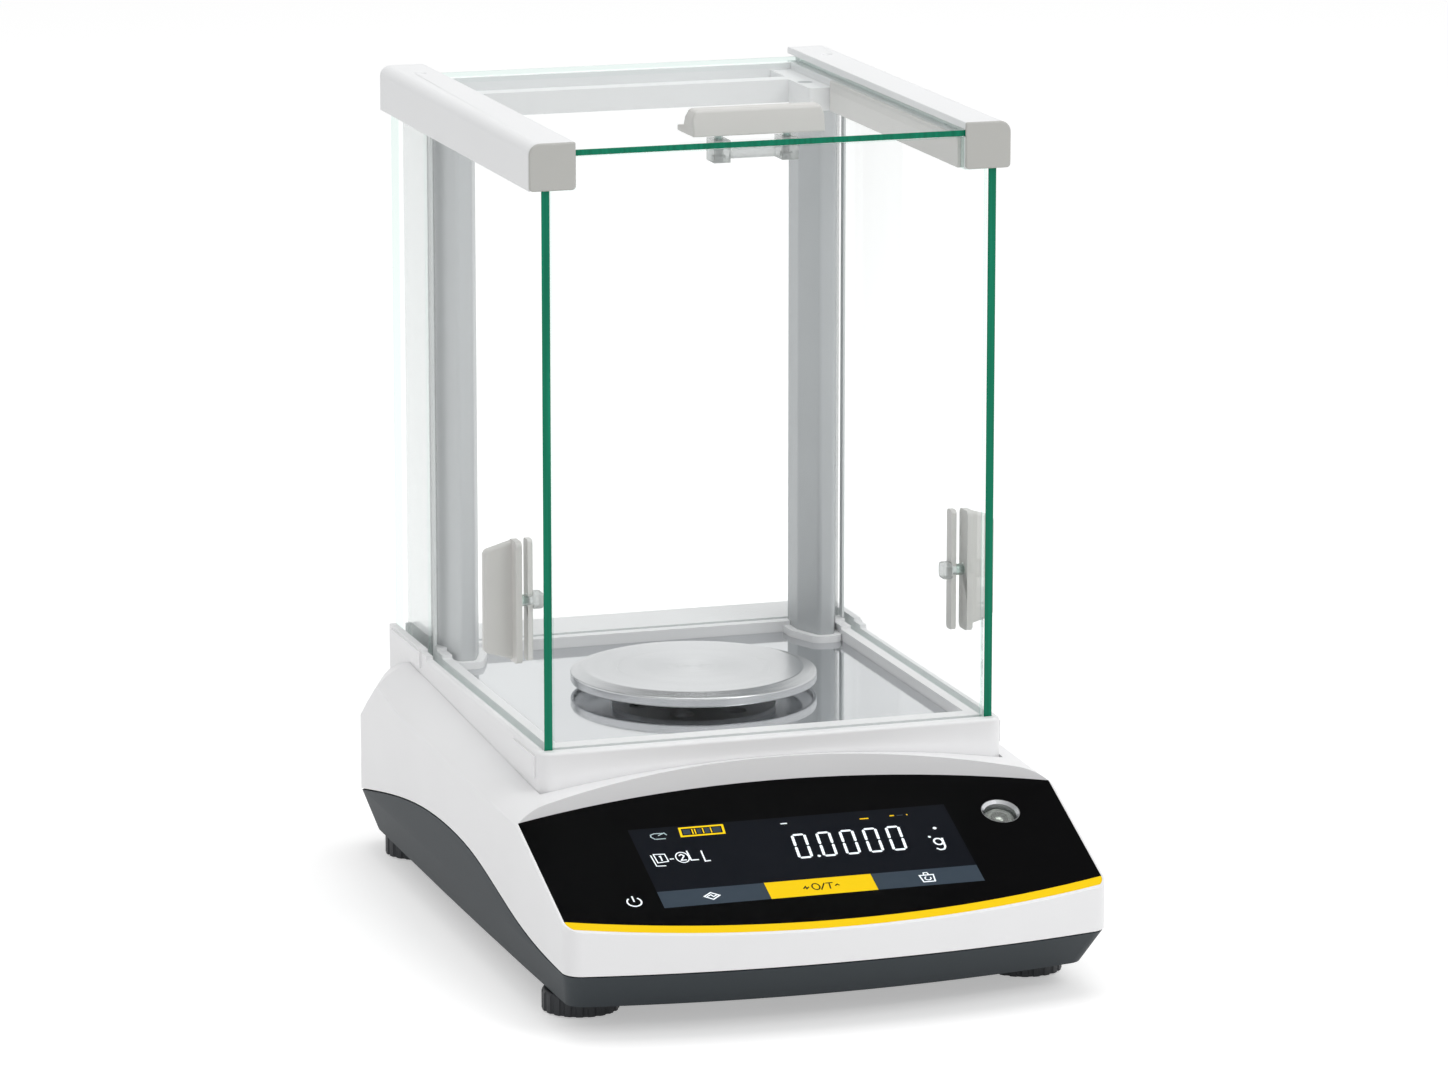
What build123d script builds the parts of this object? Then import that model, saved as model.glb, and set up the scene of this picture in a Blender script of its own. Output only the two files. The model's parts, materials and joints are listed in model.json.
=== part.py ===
from build123d import *
import math
import os

# A laboratory balance with a glass draft shield. Millimetres, +Z up, table at z = 0.
# X runs to the right, Y runs to the rear and starts at the front edges of the sliding doors.
# The last lines move the whole balance so that its centre stands over the origin.

# Fits and clearances
FIT = 0.1            # fixed pieces that drop into each other
SLIDE_GAP = 0.3      # sliding glass in its groove, each side
RUN_GAP = 0.05       # radial clearance of turning and lift-off fits
SEAM = 0.6           # shadow gap between the two housing shells

# Housing
HOUSING_W_MID = 198.6
SIDE_BULGE = 0.9     # how far the barrelled sides stand out at their middle
HOUSING_W_END = HOUSING_W_MID - 2 * SIDE_BULGE
FRONT_MID_Y = -88.5
FRONT_CORNER_Y = -77.5
REAR_Y = 205.0
FRONT_CORNER_R = 7.0
REAR_CORNER_R = 13.0
FOOT_H = 9.0         # how far the housing stands above the table
CROWN_Z = 76.0       # top of the crowned housing, just in front of the tray
WALL = 3.0
BASE_DRAFT = 4.5     # how far the dark base draws in at its bottom, at the sides and rear
BASE_FRONT_DRAFT = 17.0
DRAFT_H = 14.5
LIP_T = 1.6
LIP_H = 3.0

# Where the two shells meet, seen from the side: (y, height)
SEAM_LINE = [
    (-100, 23.3), (-60, 23.3), (-21, 27), (36, 37.6),
    (67, 39.4), (106, 37.6), (140, 33), (220, 17.5),
]

# Cross-sections of the housing top: (y, drop at the middle, at the tray edge, at the side)
TOP_SECTIONS = [
    (-100, 5.0, 12.5, 20.0),
    (-18, 0.7, 8.2, 15.6),
    (140, -5.0, 0.3, 12.6),
    (168, -5.0, -1.0, 9.0),
    (184, -2.0, 3.0, 20.0),
    (198, 3.5, 8.4, 31.0),
    (212, 10.5, 15.5, 42.0),
]
SHOULDER_BULGE = 1.6

# Sloping front panel
PANEL_Y = -18.0      # where the panel's upper corners are
PANEL_Z = 62.5       # height of the panel plane there
PANEL_TILT = 21.3
PANEL_TOP_MID_Y = -5.5
PANEL_GLASS_T = 1.6
PANEL_EDGE = 0.9     # white edge left beside the panel glass
STRIP_EDGE = 1.6     # white edge left in front of the yellow strip
STRIP_W = 3.8
SCREEN_X = -61.0
SCREEN_W = 116.5
SCREEN_TOP = 9.1     # along the slope from PANEL_Y
SCREEN_L = 36.6
KEY_ROW_L = 9.4
TARE_KEY_X = -22.5
TARE_KEY_W = 39.0
MODULE_T = 6.0
MODULE_RIM = 2.0
LEVEL_X = HOUSING_W_MID / 2 - 24.7
LEVEL_DOWN = 15.8    # along the slope from PANEL_Y
LEVEL_R = 7.0
LEVEL_VIAL_R = 5.6
LEVEL_DEPTH = 8.0

# Draft shield tray
RIM_Z = 83.0
TRAY_SHOULDER = 13.3 # housing left beside the tray
TRAY_W = HOUSING_W_MID - 2 * TRAY_SHOULDER
TRAY_FRONT_Y = -4.0
TRAY_REAR_Y = 197.0
TRAY_H = 16.0
TRAY_WALL = 2.6
TRAY_CORNER_R = 5.0
FLOOR_DROP = 4.0     # steel floor below the rim
FLOOR_T = 1.2
FLOOR_W = TRAY_W - 20.0
FLOOR_FRONT_Y = 17.7
FLOOR_REAR_Y = 164.7
RIM_BEVEL = 7.5
REAR_BLOCK_Y = 152.0
REAR_BLOCK_H = 2.4
REAR_BLOCK_W = 11.5
REAR_STEP_L = 7.0
FRONT_BLOCK_L = 28.0
FRONT_BLOCK_OUT = 0.8
PAN_PORT_R = 12.0
PORT_COLLAR_T = 2.0

# Glass
GLASS_T = 3.0
DOOR_X = TRAY_W / 2 - 5.9  # inner face of the side doors
DOOR_L = 198.0
GROOVE_DEPTH = 3.8
REAR_PANE_Y = 169.0
TOP_GLASS_T = 2.1
TOP_GLASS_L = 190.0
GUIDE_T = 1.4
GUIDE_Y = 158.0
SEAL_W = 3.0
SEAL_T = 0.8
SEAL_Y = 154.0

# Frame of the draft shield
RAIL_X = DOOR_X - 9.0      # inner face of the rails
RAIL_W = 16.7
RAIL_BOTTOM = 280.8
RAIL_H = 16.6
RAIL_END_Y = 196.0
RAIL_ROUND = 4.0
RAIL_CORE_WALL = 2.4
CAP_T = 1.4
DIMPLE_R = 2.8
STRIP_T = 1.5
STRIP_END_Y = 142.0
POST_X = DOOR_X - 10.1
POST_FRONT_Y = 144.8
POST_FRONT_W = 5.8
POST_W = 15.2
POST_FLANK_L = 12.0
POST_L = 23.2
POST_BORE_R = 1.6
BAR_Y = 167.0
BAR_END_Y = 194.0
BAR_H = 8.6
BAR_BACK_H = 11.0
BAR_WALL = 2.4

# Handles of the sliding doors
HANDLE_Y = 31.0
HANDLE_Z = 130.0
HANDLE_H = 44.0
HANDLE_FLANGE_W = 8.8
HANDLE_FLANGE_T = 2.2
FIN_OUT = 12.4
FIN_T = 3.6
PLATE_T = 1.8
KNOB_H = 6.0
KNOB_OUT = 3.6
STEM_R = 2.0
TOP_GRIP_Y = 13.0
TOP_GRIP_W = 48.4
TOP_GRIP_L = 19.0
TOP_GRIP_H = 9.3
CLAMP_DROP = 7.9
CLAMP_BLOCK_W = 6.0
CLAMP_SPAN = 25.0
CLAMP_L = 9.0

# Weighing pan
PAN_Y = 89.6
PAN_R = 45.0
PAN_TOP = 87.1
PAN_RIM_H = 4.9
PAN_SHEET = 1.2
SUPPORT_R = 30.0
SUPPORT_T = 1.6
BOSS_R = 8.0
PIN_R = 4.0
SOCKET_DEPTH = 9.0

# Feet
FOOT_FRONT = (HOUSING_W_MID / 2 - 17.5, -38.0)
FOOT_REAR = (HOUSING_W_MID / 2 - 20.3, 180.0)
FOOT_R = 13.5
FOOT_GAP = 1.0
PAD_R = 11.0
PAD_T = 2.0
PAD_OUT = 0.6
STUD_R = 4.0
STUD_L = 17.0
BUSH_WALL = 2.0
BUSH_L = 14.0
GRIP_NOTCHES = 20

# Inside
CELL_W = 60.0
CELL_L = 62.0
CELL_H = 38.0
CELL_FRONT_Y = 76.0
WEB = 1.4
POT_R = 20.0
POT_H = 26.0
COIL_R = 13.0
COIL_T = 2.0
COIL_H = 12.0
LEVER_T = 5.0
LEVER_W = 14.0
BOARD_W = 136.0
BOARD_L = 76.0
BOARD_T = 1.6
BOARD_UP = 5.0
SCREW_R = 1.5
SCREW_HEAD_R = 2.8
SCREW_HEAD_H = 2.0
HOOK_PORT_R = 10.0
COVER_R = 17.0
COVER_T = 1.5
BOSS_X = TRAY_W / 2 - 10.0
BOSS_Y = (-8.0, 150.0)
BOSS_OUT_R = 4.5
BUSH_BOSS_WALL = 2.5
BOARD_FRONT_Y = -62.0
BOARD_EDGE = 5.0     # from the board's edge to its posts
BOARD_POST_R = 3.0
CHIP = 14.0
CHIP_H = 1.5
CHIP_XS = (-44, -8, 28)
CHIP_YS = (-48, -16)
CABLE_HALF_W = 10.0
CABLE_T = 0.3
CABLE_Y = -25.0
IO_X = (-78.0, -34.0)
IO_FRONT_Y = 160.0
IO_Z = 34.0
IO_POST_IN = 6.0     # from the small board's edges to its posts
PORT_L = 16.0
PORT_BACK = 0.8      # the sockets' faces stand in from the rear wall
JACK_X = -66.0
JACK_R = 3.2
JACK_W = 10.0
JACK_FLOOR = 3.0
JACK_PIN_R = 1.0
USB_X = -45.0
USB_W = 12.0
USB_H = 11.0

SIDES = {"left": -1, "right": 1}

# Places that follow from the sizes above
BASE_Z = FOOT_H
INNER_Z = BASE_Z + WALL
SLOPE = math.tan(math.radians(PANEL_TILT))
FRONT_HALF_W = HOUSING_W_END / 2
MIDDLE_Y = (FRONT_CORNER_Y + REAR_Y) / 2
SIDE_R = ((REAR_Y - MIDDLE_Y) ** 2 + SIDE_BULGE**2) / (2 * SIDE_BULGE)
FRONT_SAG = FRONT_CORNER_Y - FRONT_MID_Y
FRONT_R = (FRONT_HALF_W**2 + FRONT_SAG**2) / (2 * FRONT_SAG)
FRONT_CENTRE_Y = FRONT_MID_Y + FRONT_R
PANEL_HALF_W = FRONT_HALF_W - 0.3
PANEL_SAG = PANEL_TOP_MID_Y - PANEL_Y
PANEL_R = (PANEL_HALF_W**2 + PANEL_SAG**2) / (2 * PANEL_SAG)
PANEL_CENTRE_Y = PANEL_TOP_MID_Y - PANEL_R
TRAY_BOTTOM = RIM_Z - TRAY_H
DECK_Z = TRAY_BOTTOM - FIT
FLOOR_Z = RIM_Z - FLOOR_DROP
FLOOR_BOTTOM = FLOOR_Z - FLOOR_T
GLASS_Z = RIM_Z - GROOVE_DEPTH + SLIDE_GAP
RAIL_TOP = RAIL_BOTTOM + RAIL_H
DOOR_TOP = RAIL_BOTTOM + GROOVE_DEPTH - SLIDE_GAP
TOP_GLASS_Z = RAIL_TOP - 5.0
DOOR_OUT = DOOR_X + GLASS_T
GROOVE_Z = RIM_Z - GROOVE_DEPTH
RAIL_OUT = RAIL_X + RAIL_W
TOP_HALF_W = RAIL_X + 2.9
POST_REAR_Y = POST_FRONT_Y + POST_L
POST_SCREW_Y = POST_FRONT_Y + POST_L * 0.6
HEAD_SCREW_X = POST_X - 4.4
STEM_Y = HANDLE_Y + 0.5
CLAMP_XS = (-CLAMP_SPAN / 2, CLAMP_SPAN / 2)
CLAMP_Y = TOP_GRIP_Y + 3.5 + CLAMP_L / 2
PAN_BOTTOM = PAN_TOP - PAN_RIM_H
SUPPORT_TOP = PAN_TOP - PAN_SHEET
PIN_TOP = SUPPORT_TOP - SUPPORT_T - 1.0
SOCKET_MOUTH = PIN_TOP - SOCKET_DEPTH
CELL_REAR_Y = CELL_FRONT_Y + CELL_L
POT_Y = CELL_REAR_Y + POT_R + 4.0
BOSS_PLACES = [(x, y) for x in (-BOSS_X, BOSS_X) for y in BOSS_Y]
FEET = {
    "front_left": (-FOOT_FRONT[0], FOOT_FRONT[1]),
    "front_right": FOOT_FRONT,
    "rear_left": (-FOOT_REAR[0], FOOT_REAR[1]),
    "rear_right": FOOT_REAR,
}
BOARD_Y = (BOARD_FRONT_Y, BOARD_FRONT_Y + BOARD_L)
BOARD_POST_X = BOARD_W / 2 - BOARD_EDGE
BOARD_POST_YS = (BOARD_Y[0] + BOARD_EDGE, BOARD_Y[1] - BOARD_EDGE)
BOARD_POSTS = [(x, y) for x in (-BOARD_POST_X, BOARD_POST_X) for y in BOARD_POST_YS]
IO_Y = (IO_FRONT_Y, REAR_Y - WALL - FIT)
BIG = 500.0


def slab(x0, x1, y0, y1, z0, z1):
    """A plain box between two corners."""
    return Pos((x0 + x1) / 2, (y0 + y1) / 2, (z0 + z1) / 2) * Box(abs(x1 - x0), abs(y1 - y0), abs(z1 - z0))


def rod(x, y, z0, z1, radius):
    """An upright cylinder."""
    return Pos(x, y, (z0 + z1) / 2) * Cylinder(radius, abs(z1 - z0))


def cross_rod(x0, x1, y, z, radius):
    """A cylinder lying along X."""
    return Pos((x0 + x1) / 2, y, z) * Rot(0, 90, 0) * Cylinder(radius, abs(x1 - x0))


def on_panel(x, down, depth=0.0):
    """A place on the front panel, measured down its slope from PANEL_Y, facing out of the panel."""
    tilt = math.radians(PANEL_TILT)
    y = PANEL_Y - down * math.cos(tilt) + depth * math.sin(tilt)
    z = PANEL_Z - down * math.sin(tilt) - depth * math.cos(tilt)
    return Pos(x, y, z) * Rot(PANEL_TILT, 0, 0)


def panel_plate(x0, x1, top, length, depth, thickness):
    """A flat plate parallel to the panel, its upper face the given depth below the panel plane."""
    place = on_panel((x0 + x1) / 2, top + length / 2, depth + thickness / 2)
    return place * Box(abs(x1 - x0), length, thickness)


def outline(inset=0.0):
    """The housing from above: barrelled sides, arched front, rounded corners, all drawn in by the inset."""
    plan = Pos(0, FRONT_CENTRE_Y) * Circle(FRONT_R - inset)
    for side in SIDES.values():
        centre_x = side * (HOUSING_W_MID / 2 - SIDE_R)
        plan &= Pos(centre_x, MIDDLE_Y) * Circle(SIDE_R - inset)
    plan &= Pos(0, REAR_Y - inset - BIG / 2) * Rectangle(BIG, BIG)
    corners = plan.vertices().group_by(Axis.Y)
    plan = fillet(corners[0], FRONT_CORNER_R - inset)
    corners = plan.vertices().group_by(Axis.Y)
    return fillet(corners[-1], REAR_CORNER_R - inset)


def top_section(y, middle, edge, side, inset):
    """One cross-section of the housing under its crowned top and rounded shoulders."""
    half = HOUSING_W_MID / 2 + 1.0
    edge_x = TRAY_W / 2
    top = CROWN_Z - inset
    shoulder = ((half + edge_x) / 2, top - (edge + side) / 2 + SHOULDER_BULGE)
    lines = [
        Line((-half, 0), (-half, top - side)),
        ThreePointArc((-half, top - side), (-shoulder[0], shoulder[1]), (-edge_x, top - edge)),
        ThreePointArc((-edge_x, top - edge), (0, top - middle), (edge_x, top - edge)),
        ThreePointArc((edge_x, top - edge), shoulder, (half, top - side)),
        Line((half, top - side), (half, 0)),
        Line((half, 0), (-half, 0)),
    ]
    plane = Plane(origin=(0, y, 0), x_dir=(1, 0, 0), z_dir=(0, -1, 0))
    return plane * make_face(lines)


def panel_cut(inset=0.0, deeper=0.0):
    """What the sloping panel takes away: all above its plane and in front of its arched upper edge."""
    above = on_panel(0, 0, inset + deeper) * Pos(0, 0, BIG / 2) * Box(BIG, BIG, BIG)
    front = Pos(0, PANEL_CENTRE_Y, 0) * Cylinder(PANEL_R + inset, BIG)
    return above & front


def housing_block(inset=0.0, deeper=0.0):
    """The outer form of the whole housing, or its inside where inset is the wall."""
    plan = extrude(outline(inset), CROWN_Z * 2)
    top = loft([top_section(*s, inset) for s in TOP_SECTIONS], ruled=True)
    return (plan & top) - panel_cut(inset, deeper)


def below_seam(lift=0.0):
    """Everything below the line where the shells meet."""
    points = [(y, z + lift) for y, z in SEAM_LINE]
    curve = Spline(*points)
    first = points[0]
    last = points[-1]
    rest = Polyline(last, (last[0], -BIG), (first[0], -BIG), first)
    plane = Plane(origin=(-BIG / 2, 0, 0), x_dir=(0, 1, 0), z_dir=(1, 0, 0))
    return extrude(plane * make_face([curve, rest]), BIG)


def scaled_outline(inset):
    """The outline shrunk by the draft, which is larger at the front than at the sides and rear."""
    length = REAR_Y - FRONT_MID_Y
    middle_y = (REAR_Y + FRONT_MID_Y) / 2
    fx = 1 - 2 * BASE_DRAFT / HOUSING_W_MID
    fy = 1 - (BASE_DRAFT + BASE_FRONT_DRAFT) / length
    face = Pos(0, -middle_y, 0) * outline(inset)
    return Pos(0, middle_y, 0) * scale(face, by=(fx, fy, 1))


def base_taper(inset=0.0):
    """The drawn-in lower part of the base, under its full outline."""
    upper_z = BASE_Z + DRAFT_H
    lower = Pos(0, (BASE_FRONT_DRAFT - BASE_DRAFT) / 2, BASE_Z + inset) * scaled_outline(inset)
    upper = Pos(0, 0, upper_z) * outline(inset)
    tapered = loft([lower, upper], ruled=True)
    return tapered + extrude(upper, BIG)


def screw(x, y, z, length, up=True, head_r=SCREW_HEAD_R):
    """A plain screw with its head at z, reaching up or down."""
    way = 1 if up else -1
    head = rod(x, y, z, z + way * SCREW_HEAD_H, head_r)
    return head + rod(x, y, z + way * SCREW_HEAD_H, z + way * length, SCREW_R)


def mirrored(solid, side):
    """A piece made for the right side, turned to the side wanted."""
    return solid if side > 0 else mirror(solid, Plane.YZ)


# Housing

def top_shell():
    """The white upper housing with the tray's recess, the panel's seat and the rear ports."""
    outer = housing_block() - below_seam(SEAM)
    recess_x = TRAY_W / 2 + FIT
    recess = slab(-recess_x, recess_x, TRAY_FRONT_Y - FIT, TRAY_REAR_Y + FIT, DECK_Z, BIG)
    under_deck = slab(-recess_x - WALL, recess_x + WALL, TRAY_FRONT_Y - WALL, TRAY_REAR_Y + WALL,
                      DECK_Z - WALL, BIG)
    shell = outer - (housing_block(WALL, PANEL_GLASS_T) - under_deck) - recess
    shell += [rod(x, y, INNER_Z, DECK_Z - WALL / 2, BOSS_OUT_R) for x, y in BOSS_PLACES]
    shell -= [rod(x, y, 0, DECK_Z - WALL, SCREW_R) for x, y in BOSS_PLACES]
    shell -= panel_field(FIT, 0.0, PANEL_GLASS_T)
    module = SCREEN_L + KEY_ROW_L
    middle = SCREEN_X + SCREEN_W / 2
    half = SCREEN_W / 2 + MODULE_RIM + FIT
    shell -= panel_plate(middle - half, middle + half, SCREEN_TOP - MODULE_RIM - FIT,
                         module + 2 * (MODULE_RIM + FIT), 0, PANEL_GLASS_T + 2 * WALL)
    shell -= on_panel(LEVEL_X, LEVEL_DOWN, LEVEL_DEPTH) * Cylinder(LEVEL_R + FIT, 4 * LEVEL_DEPTH)
    shell -= rod(0, PAN_Y, 0, BIG, PAN_PORT_R + PORT_COLLAR_T + FIT)
    port_z = IO_Z + BOARD_T
    shell -= slab(JACK_X - JACK_W / 2, JACK_X + JACK_W / 2, IO_Y[0], BIG, port_z, port_z + JACK_W)
    return shell - slab(USB_X - USB_W / 2, USB_X + USB_W / 2, IO_Y[0], BIG, port_z, port_z + USB_H)


def panel_field(grow, depth, thickness):
    """The black field and the strip together: a plate on the panel plane."""
    plan = extrude(outline(PANEL_EDGE - grow), BIG)
    front = Pos(0, FRONT_CENTRE_Y, 0) * Cylinder(FRONT_R - STRIP_EDGE + grow, 2 * BIG)
    rear = Pos(0, PANEL_CENTRE_Y, 0) * Cylinder(PANEL_R + grow / 2, 2 * BIG)
    plate = on_panel(0, 0, depth + thickness / 2) * Box(BIG, BIG, thickness)
    return plate & plan & front & rear


def wall_ring(outer_inset, inner_inset):
    """An upright ring that follows the housing's outline."""
    return extrude(outline(outer_inset), CROWN_Z) - extrude(outline(inner_inset), CROWN_Z)


def base_shell():
    """The dark lower tray of the housing: drawn-in walls, a tongue inside the seam, seats and bosses."""
    outer = housing_block() & below_seam() & base_taper()
    inner = extrude(outline(WALL), BIG) & base_taper(WALL)
    shell = outer - (inner - slab(-BIG, BIG, -BIG, BIG, 0, INNER_Z))
    tongue_in = WALL + FIT + LIP_T
    foot_band = below_seam() - below_seam(-LIP_H)
    full_band = below_seam(LIP_H) - below_seam(-LIP_H)
    shell += wall_ring(WALL - FIT, tongue_in) & foot_band & base_taper()
    shell += wall_ring(WALL + FIT, tongue_in) & full_band & base_taper()
    bush_out = STUD_R + RUN_GAP + BUSH_WALL
    for x, y in FEET.values():
        shell += rod(x, y, BASE_Z, BASE_Z + BUSH_L, bush_out + BUSH_BOSS_WALL)
        shell -= rod(x, y, BASE_Z - 1, BASE_Z + BUSH_L + 1, bush_out)
    for x, y in BOSS_PLACES:
        shell -= rod(x, y, 0, BIG, SCREW_R + FIT)
        shell -= rod(x, y, 0, BASE_Z + SCREW_HEAD_H / 2, SCREW_HEAD_R + FIT)
    shell += [rod(x, y, BASE_Z + 1, INNER_Z + BOARD_UP, BOARD_POST_R) for x, y in BOARD_POSTS]
    shell -= [rod(x, y, INNER_Z, INNER_Z + BOARD_UP + 1, SCREW_R) for x, y in BOARD_POSTS]
    for x in (IO_X[0] + IO_POST_IN, IO_X[1] - IO_POST_IN):
        shell += rod(x, IO_Y[0] + IO_POST_IN, BASE_Z + 1, IO_Z, BOARD_POST_R)
    shell -= rod(0, PAN_Y, 0, INNER_Z + 1, HOOK_PORT_R)
    shell -= [rod(x, PAN_Y, 0, INNER_Z + 1, SCREW_R) for x in cover_screw_xs()]
    return shell


def cover_screw_xs():
    """Where the cover's two screws stand."""
    return (-HOOK_PORT_R - 3.5, HOOK_PORT_R + 3.5)


def panel_glass():
    """The black glass of the front panel, with the openings of the screen and the level."""
    black = Pos(0, FRONT_CENTRE_Y, 0) * Cylinder(FRONT_R - STRIP_EDGE - STRIP_W, 2 * BIG)
    glass = panel_field(0, 0, PANEL_GLASS_T) & black
    glass -= panel_plate(SCREEN_X, SCREEN_X + SCREEN_W, SCREEN_TOP, SCREEN_L + KEY_ROW_L, -1,
                         PANEL_GLASS_T + 2)
    return glass - on_panel(LEVEL_X, LEVEL_DOWN) * Cylinder(LEVEL_R, 4 * PANEL_GLASS_T)


def accent_strip():
    """The yellow strip along the panel's lower edge."""
    black = Pos(0, FRONT_CENTRE_Y, 0) * Cylinder(FRONT_R - STRIP_EDGE - STRIP_W, 2 * BIG)
    return panel_field(0, 0, PANEL_GLASS_T) - black


def display_screen():
    """The clear face of the display, level with the panel glass."""
    return panel_plate(SCREEN_X, SCREEN_X + SCREEN_W, SCREEN_TOP, SCREEN_L, 0, PANEL_GLASS_T)


def display_module():
    """The display's body behind its face."""
    module = panel_plate(SCREEN_X - MODULE_RIM, SCREEN_X + SCREEN_W + MODULE_RIM, SCREEN_TOP - MODULE_RIM,
                         SCREEN_L + KEY_ROW_L + 2 * MODULE_RIM, PANEL_GLASS_T, MODULE_T)
    return module


def soft_keys():
    """The two slate touch fields beside the tare key."""
    top = SCREEN_TOP + SCREEN_L
    left = panel_plate(SCREEN_X, TARE_KEY_X, top, KEY_ROW_L, 0, PANEL_GLASS_T)
    right = panel_plate(TARE_KEY_X + TARE_KEY_W, SCREEN_X + SCREEN_W, top, KEY_ROW_L, 0, PANEL_GLASS_T)
    return [left, right]


def tare_key():
    """The yellow zero and tare touch field."""
    top = SCREEN_TOP + SCREEN_L
    return panel_plate(TARE_KEY_X, TARE_KEY_X + TARE_KEY_W, top, KEY_ROW_L, 0, PANEL_GLASS_T)


def level_bezel():
    """The round cup that holds the spirit level, its flared rim level with the panel."""
    cup = Pos(0, 0, -LEVEL_DEPTH / 2) * Cylinder(LEVEL_R - FIT, LEVEL_DEPTH)
    well = Pos(0, 0, 1 - LEVEL_DEPTH / 2) * Cylinder(LEVEL_VIAL_R + FIT, LEVEL_DEPTH)
    cup = cup - well
    mouth = cup.edges().filter_by(GeomType.CIRCLE).group_by(Axis.Z)[-1].sort_by(SortBy.RADIUS)[0]
    cup = chamfer(mouth, (LEVEL_R - LEVEL_VIAL_R) * 0.7)
    return on_panel(LEVEL_X, LEVEL_DOWN) * cup


def level_vial():
    """The glass vial of the spirit level, seated on the cup's floor."""
    floor = -LEVEL_DEPTH + 1
    vial = Pos(0, 0, floor + 2.2) * Cylinder(LEVEL_VIAL_R, 4.4)
    vial = fillet(vial.edges().group_by(Axis.Z)[-1], 1.2)
    return on_panel(LEVEL_X, LEVEL_DOWN) * vial


def foot(x, y):
    """A levelling foot: notched disc and threaded stud."""
    top = BASE_Z - FOOT_GAP
    disc = rod(x, y, PAD_OUT, top, FOOT_R)
    disc = fillet(disc.edges().group_by(Axis.Z)[-1], 1.5)
    for i in range(GRIP_NOTCHES):
        turn = math.radians(360 / GRIP_NOTCHES * (i + 0.5))
        disc -= rod(x + (FOOT_R + 0.6) * math.cos(turn), y + (FOOT_R + 0.6) * math.sin(turn), 0, top + 1, 1.2)
    disc -= rod(x, y, 0, PAD_T, PAD_R + FIT)
    return disc + rod(x, y, top - 1, top + STUD_L, STUD_R)


def foot_pad(x, y):
    """The rubber pad set into the foot's underside."""
    return rod(x, y, 0, PAD_T, PAD_R)


def foot_bushes():
    """The four threaded bushes that the feet screw into."""
    ring_r = STUD_R + RUN_GAP
    ring = [rod(x, y, BASE_Z, BASE_Z + BUSH_L, ring_r + BUSH_WALL) - rod(x, y, 0, BIG, ring_r)
            for x, y in FEET.values()]
    return ring


def hook_port_cover():
    """The cover over the hole for weighing below the balance."""
    cover = rod(0, PAN_Y, BASE_Z - COVER_T, BASE_Z, COVER_R)
    cover -= [rod(x, PAN_Y, 0, BASE_Z, SCREW_R) for x in cover_screw_xs()]
    return cover


def housing_screws():
    """Screws that join the shells, and the two of the hook port's cover."""
    joins = [screw(x, y, BASE_Z - SCREW_HEAD_H / 2, 16) for x, y in BOSS_PLACES]
    covers = [screw(x, PAN_Y, BASE_Z - COVER_T - SCREW_HEAD_H, SCREW_HEAD_H + COVER_T + WALL)
              for x in cover_screw_xs()]
    return joins + covers


# Draft shield tray

def post_outline(grow=0.0):
    """The post seen from above: flat front, flanks that widen, straight back."""
    narrow = POST_FRONT_W / 2
    wide = POST_W / 2
    y0 = POST_FRONT_Y
    y1 = POST_FRONT_Y + POST_FLANK_L
    y2 = POST_REAR_Y
    points = [(-narrow, y0), (narrow, y0), (wide, y1), (wide, y2), (-wide, y2), (-wide, y1)]
    face = make_face(Polyline(*points, close=True))
    face = fillet(face.vertices().group_by(Axis.Y)[0], 2.0)
    face = fillet(face.vertices().group_by(Axis.Y)[-2], 4.0)
    return offset(face, grow) if grow else face


def post_prism(side, z0, z1, grow=0.0):
    """An upright prism over the post's outline."""
    return Pos(side * POST_X, 0, z0) * extrude(post_outline(grow), z1 - z0)


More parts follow.
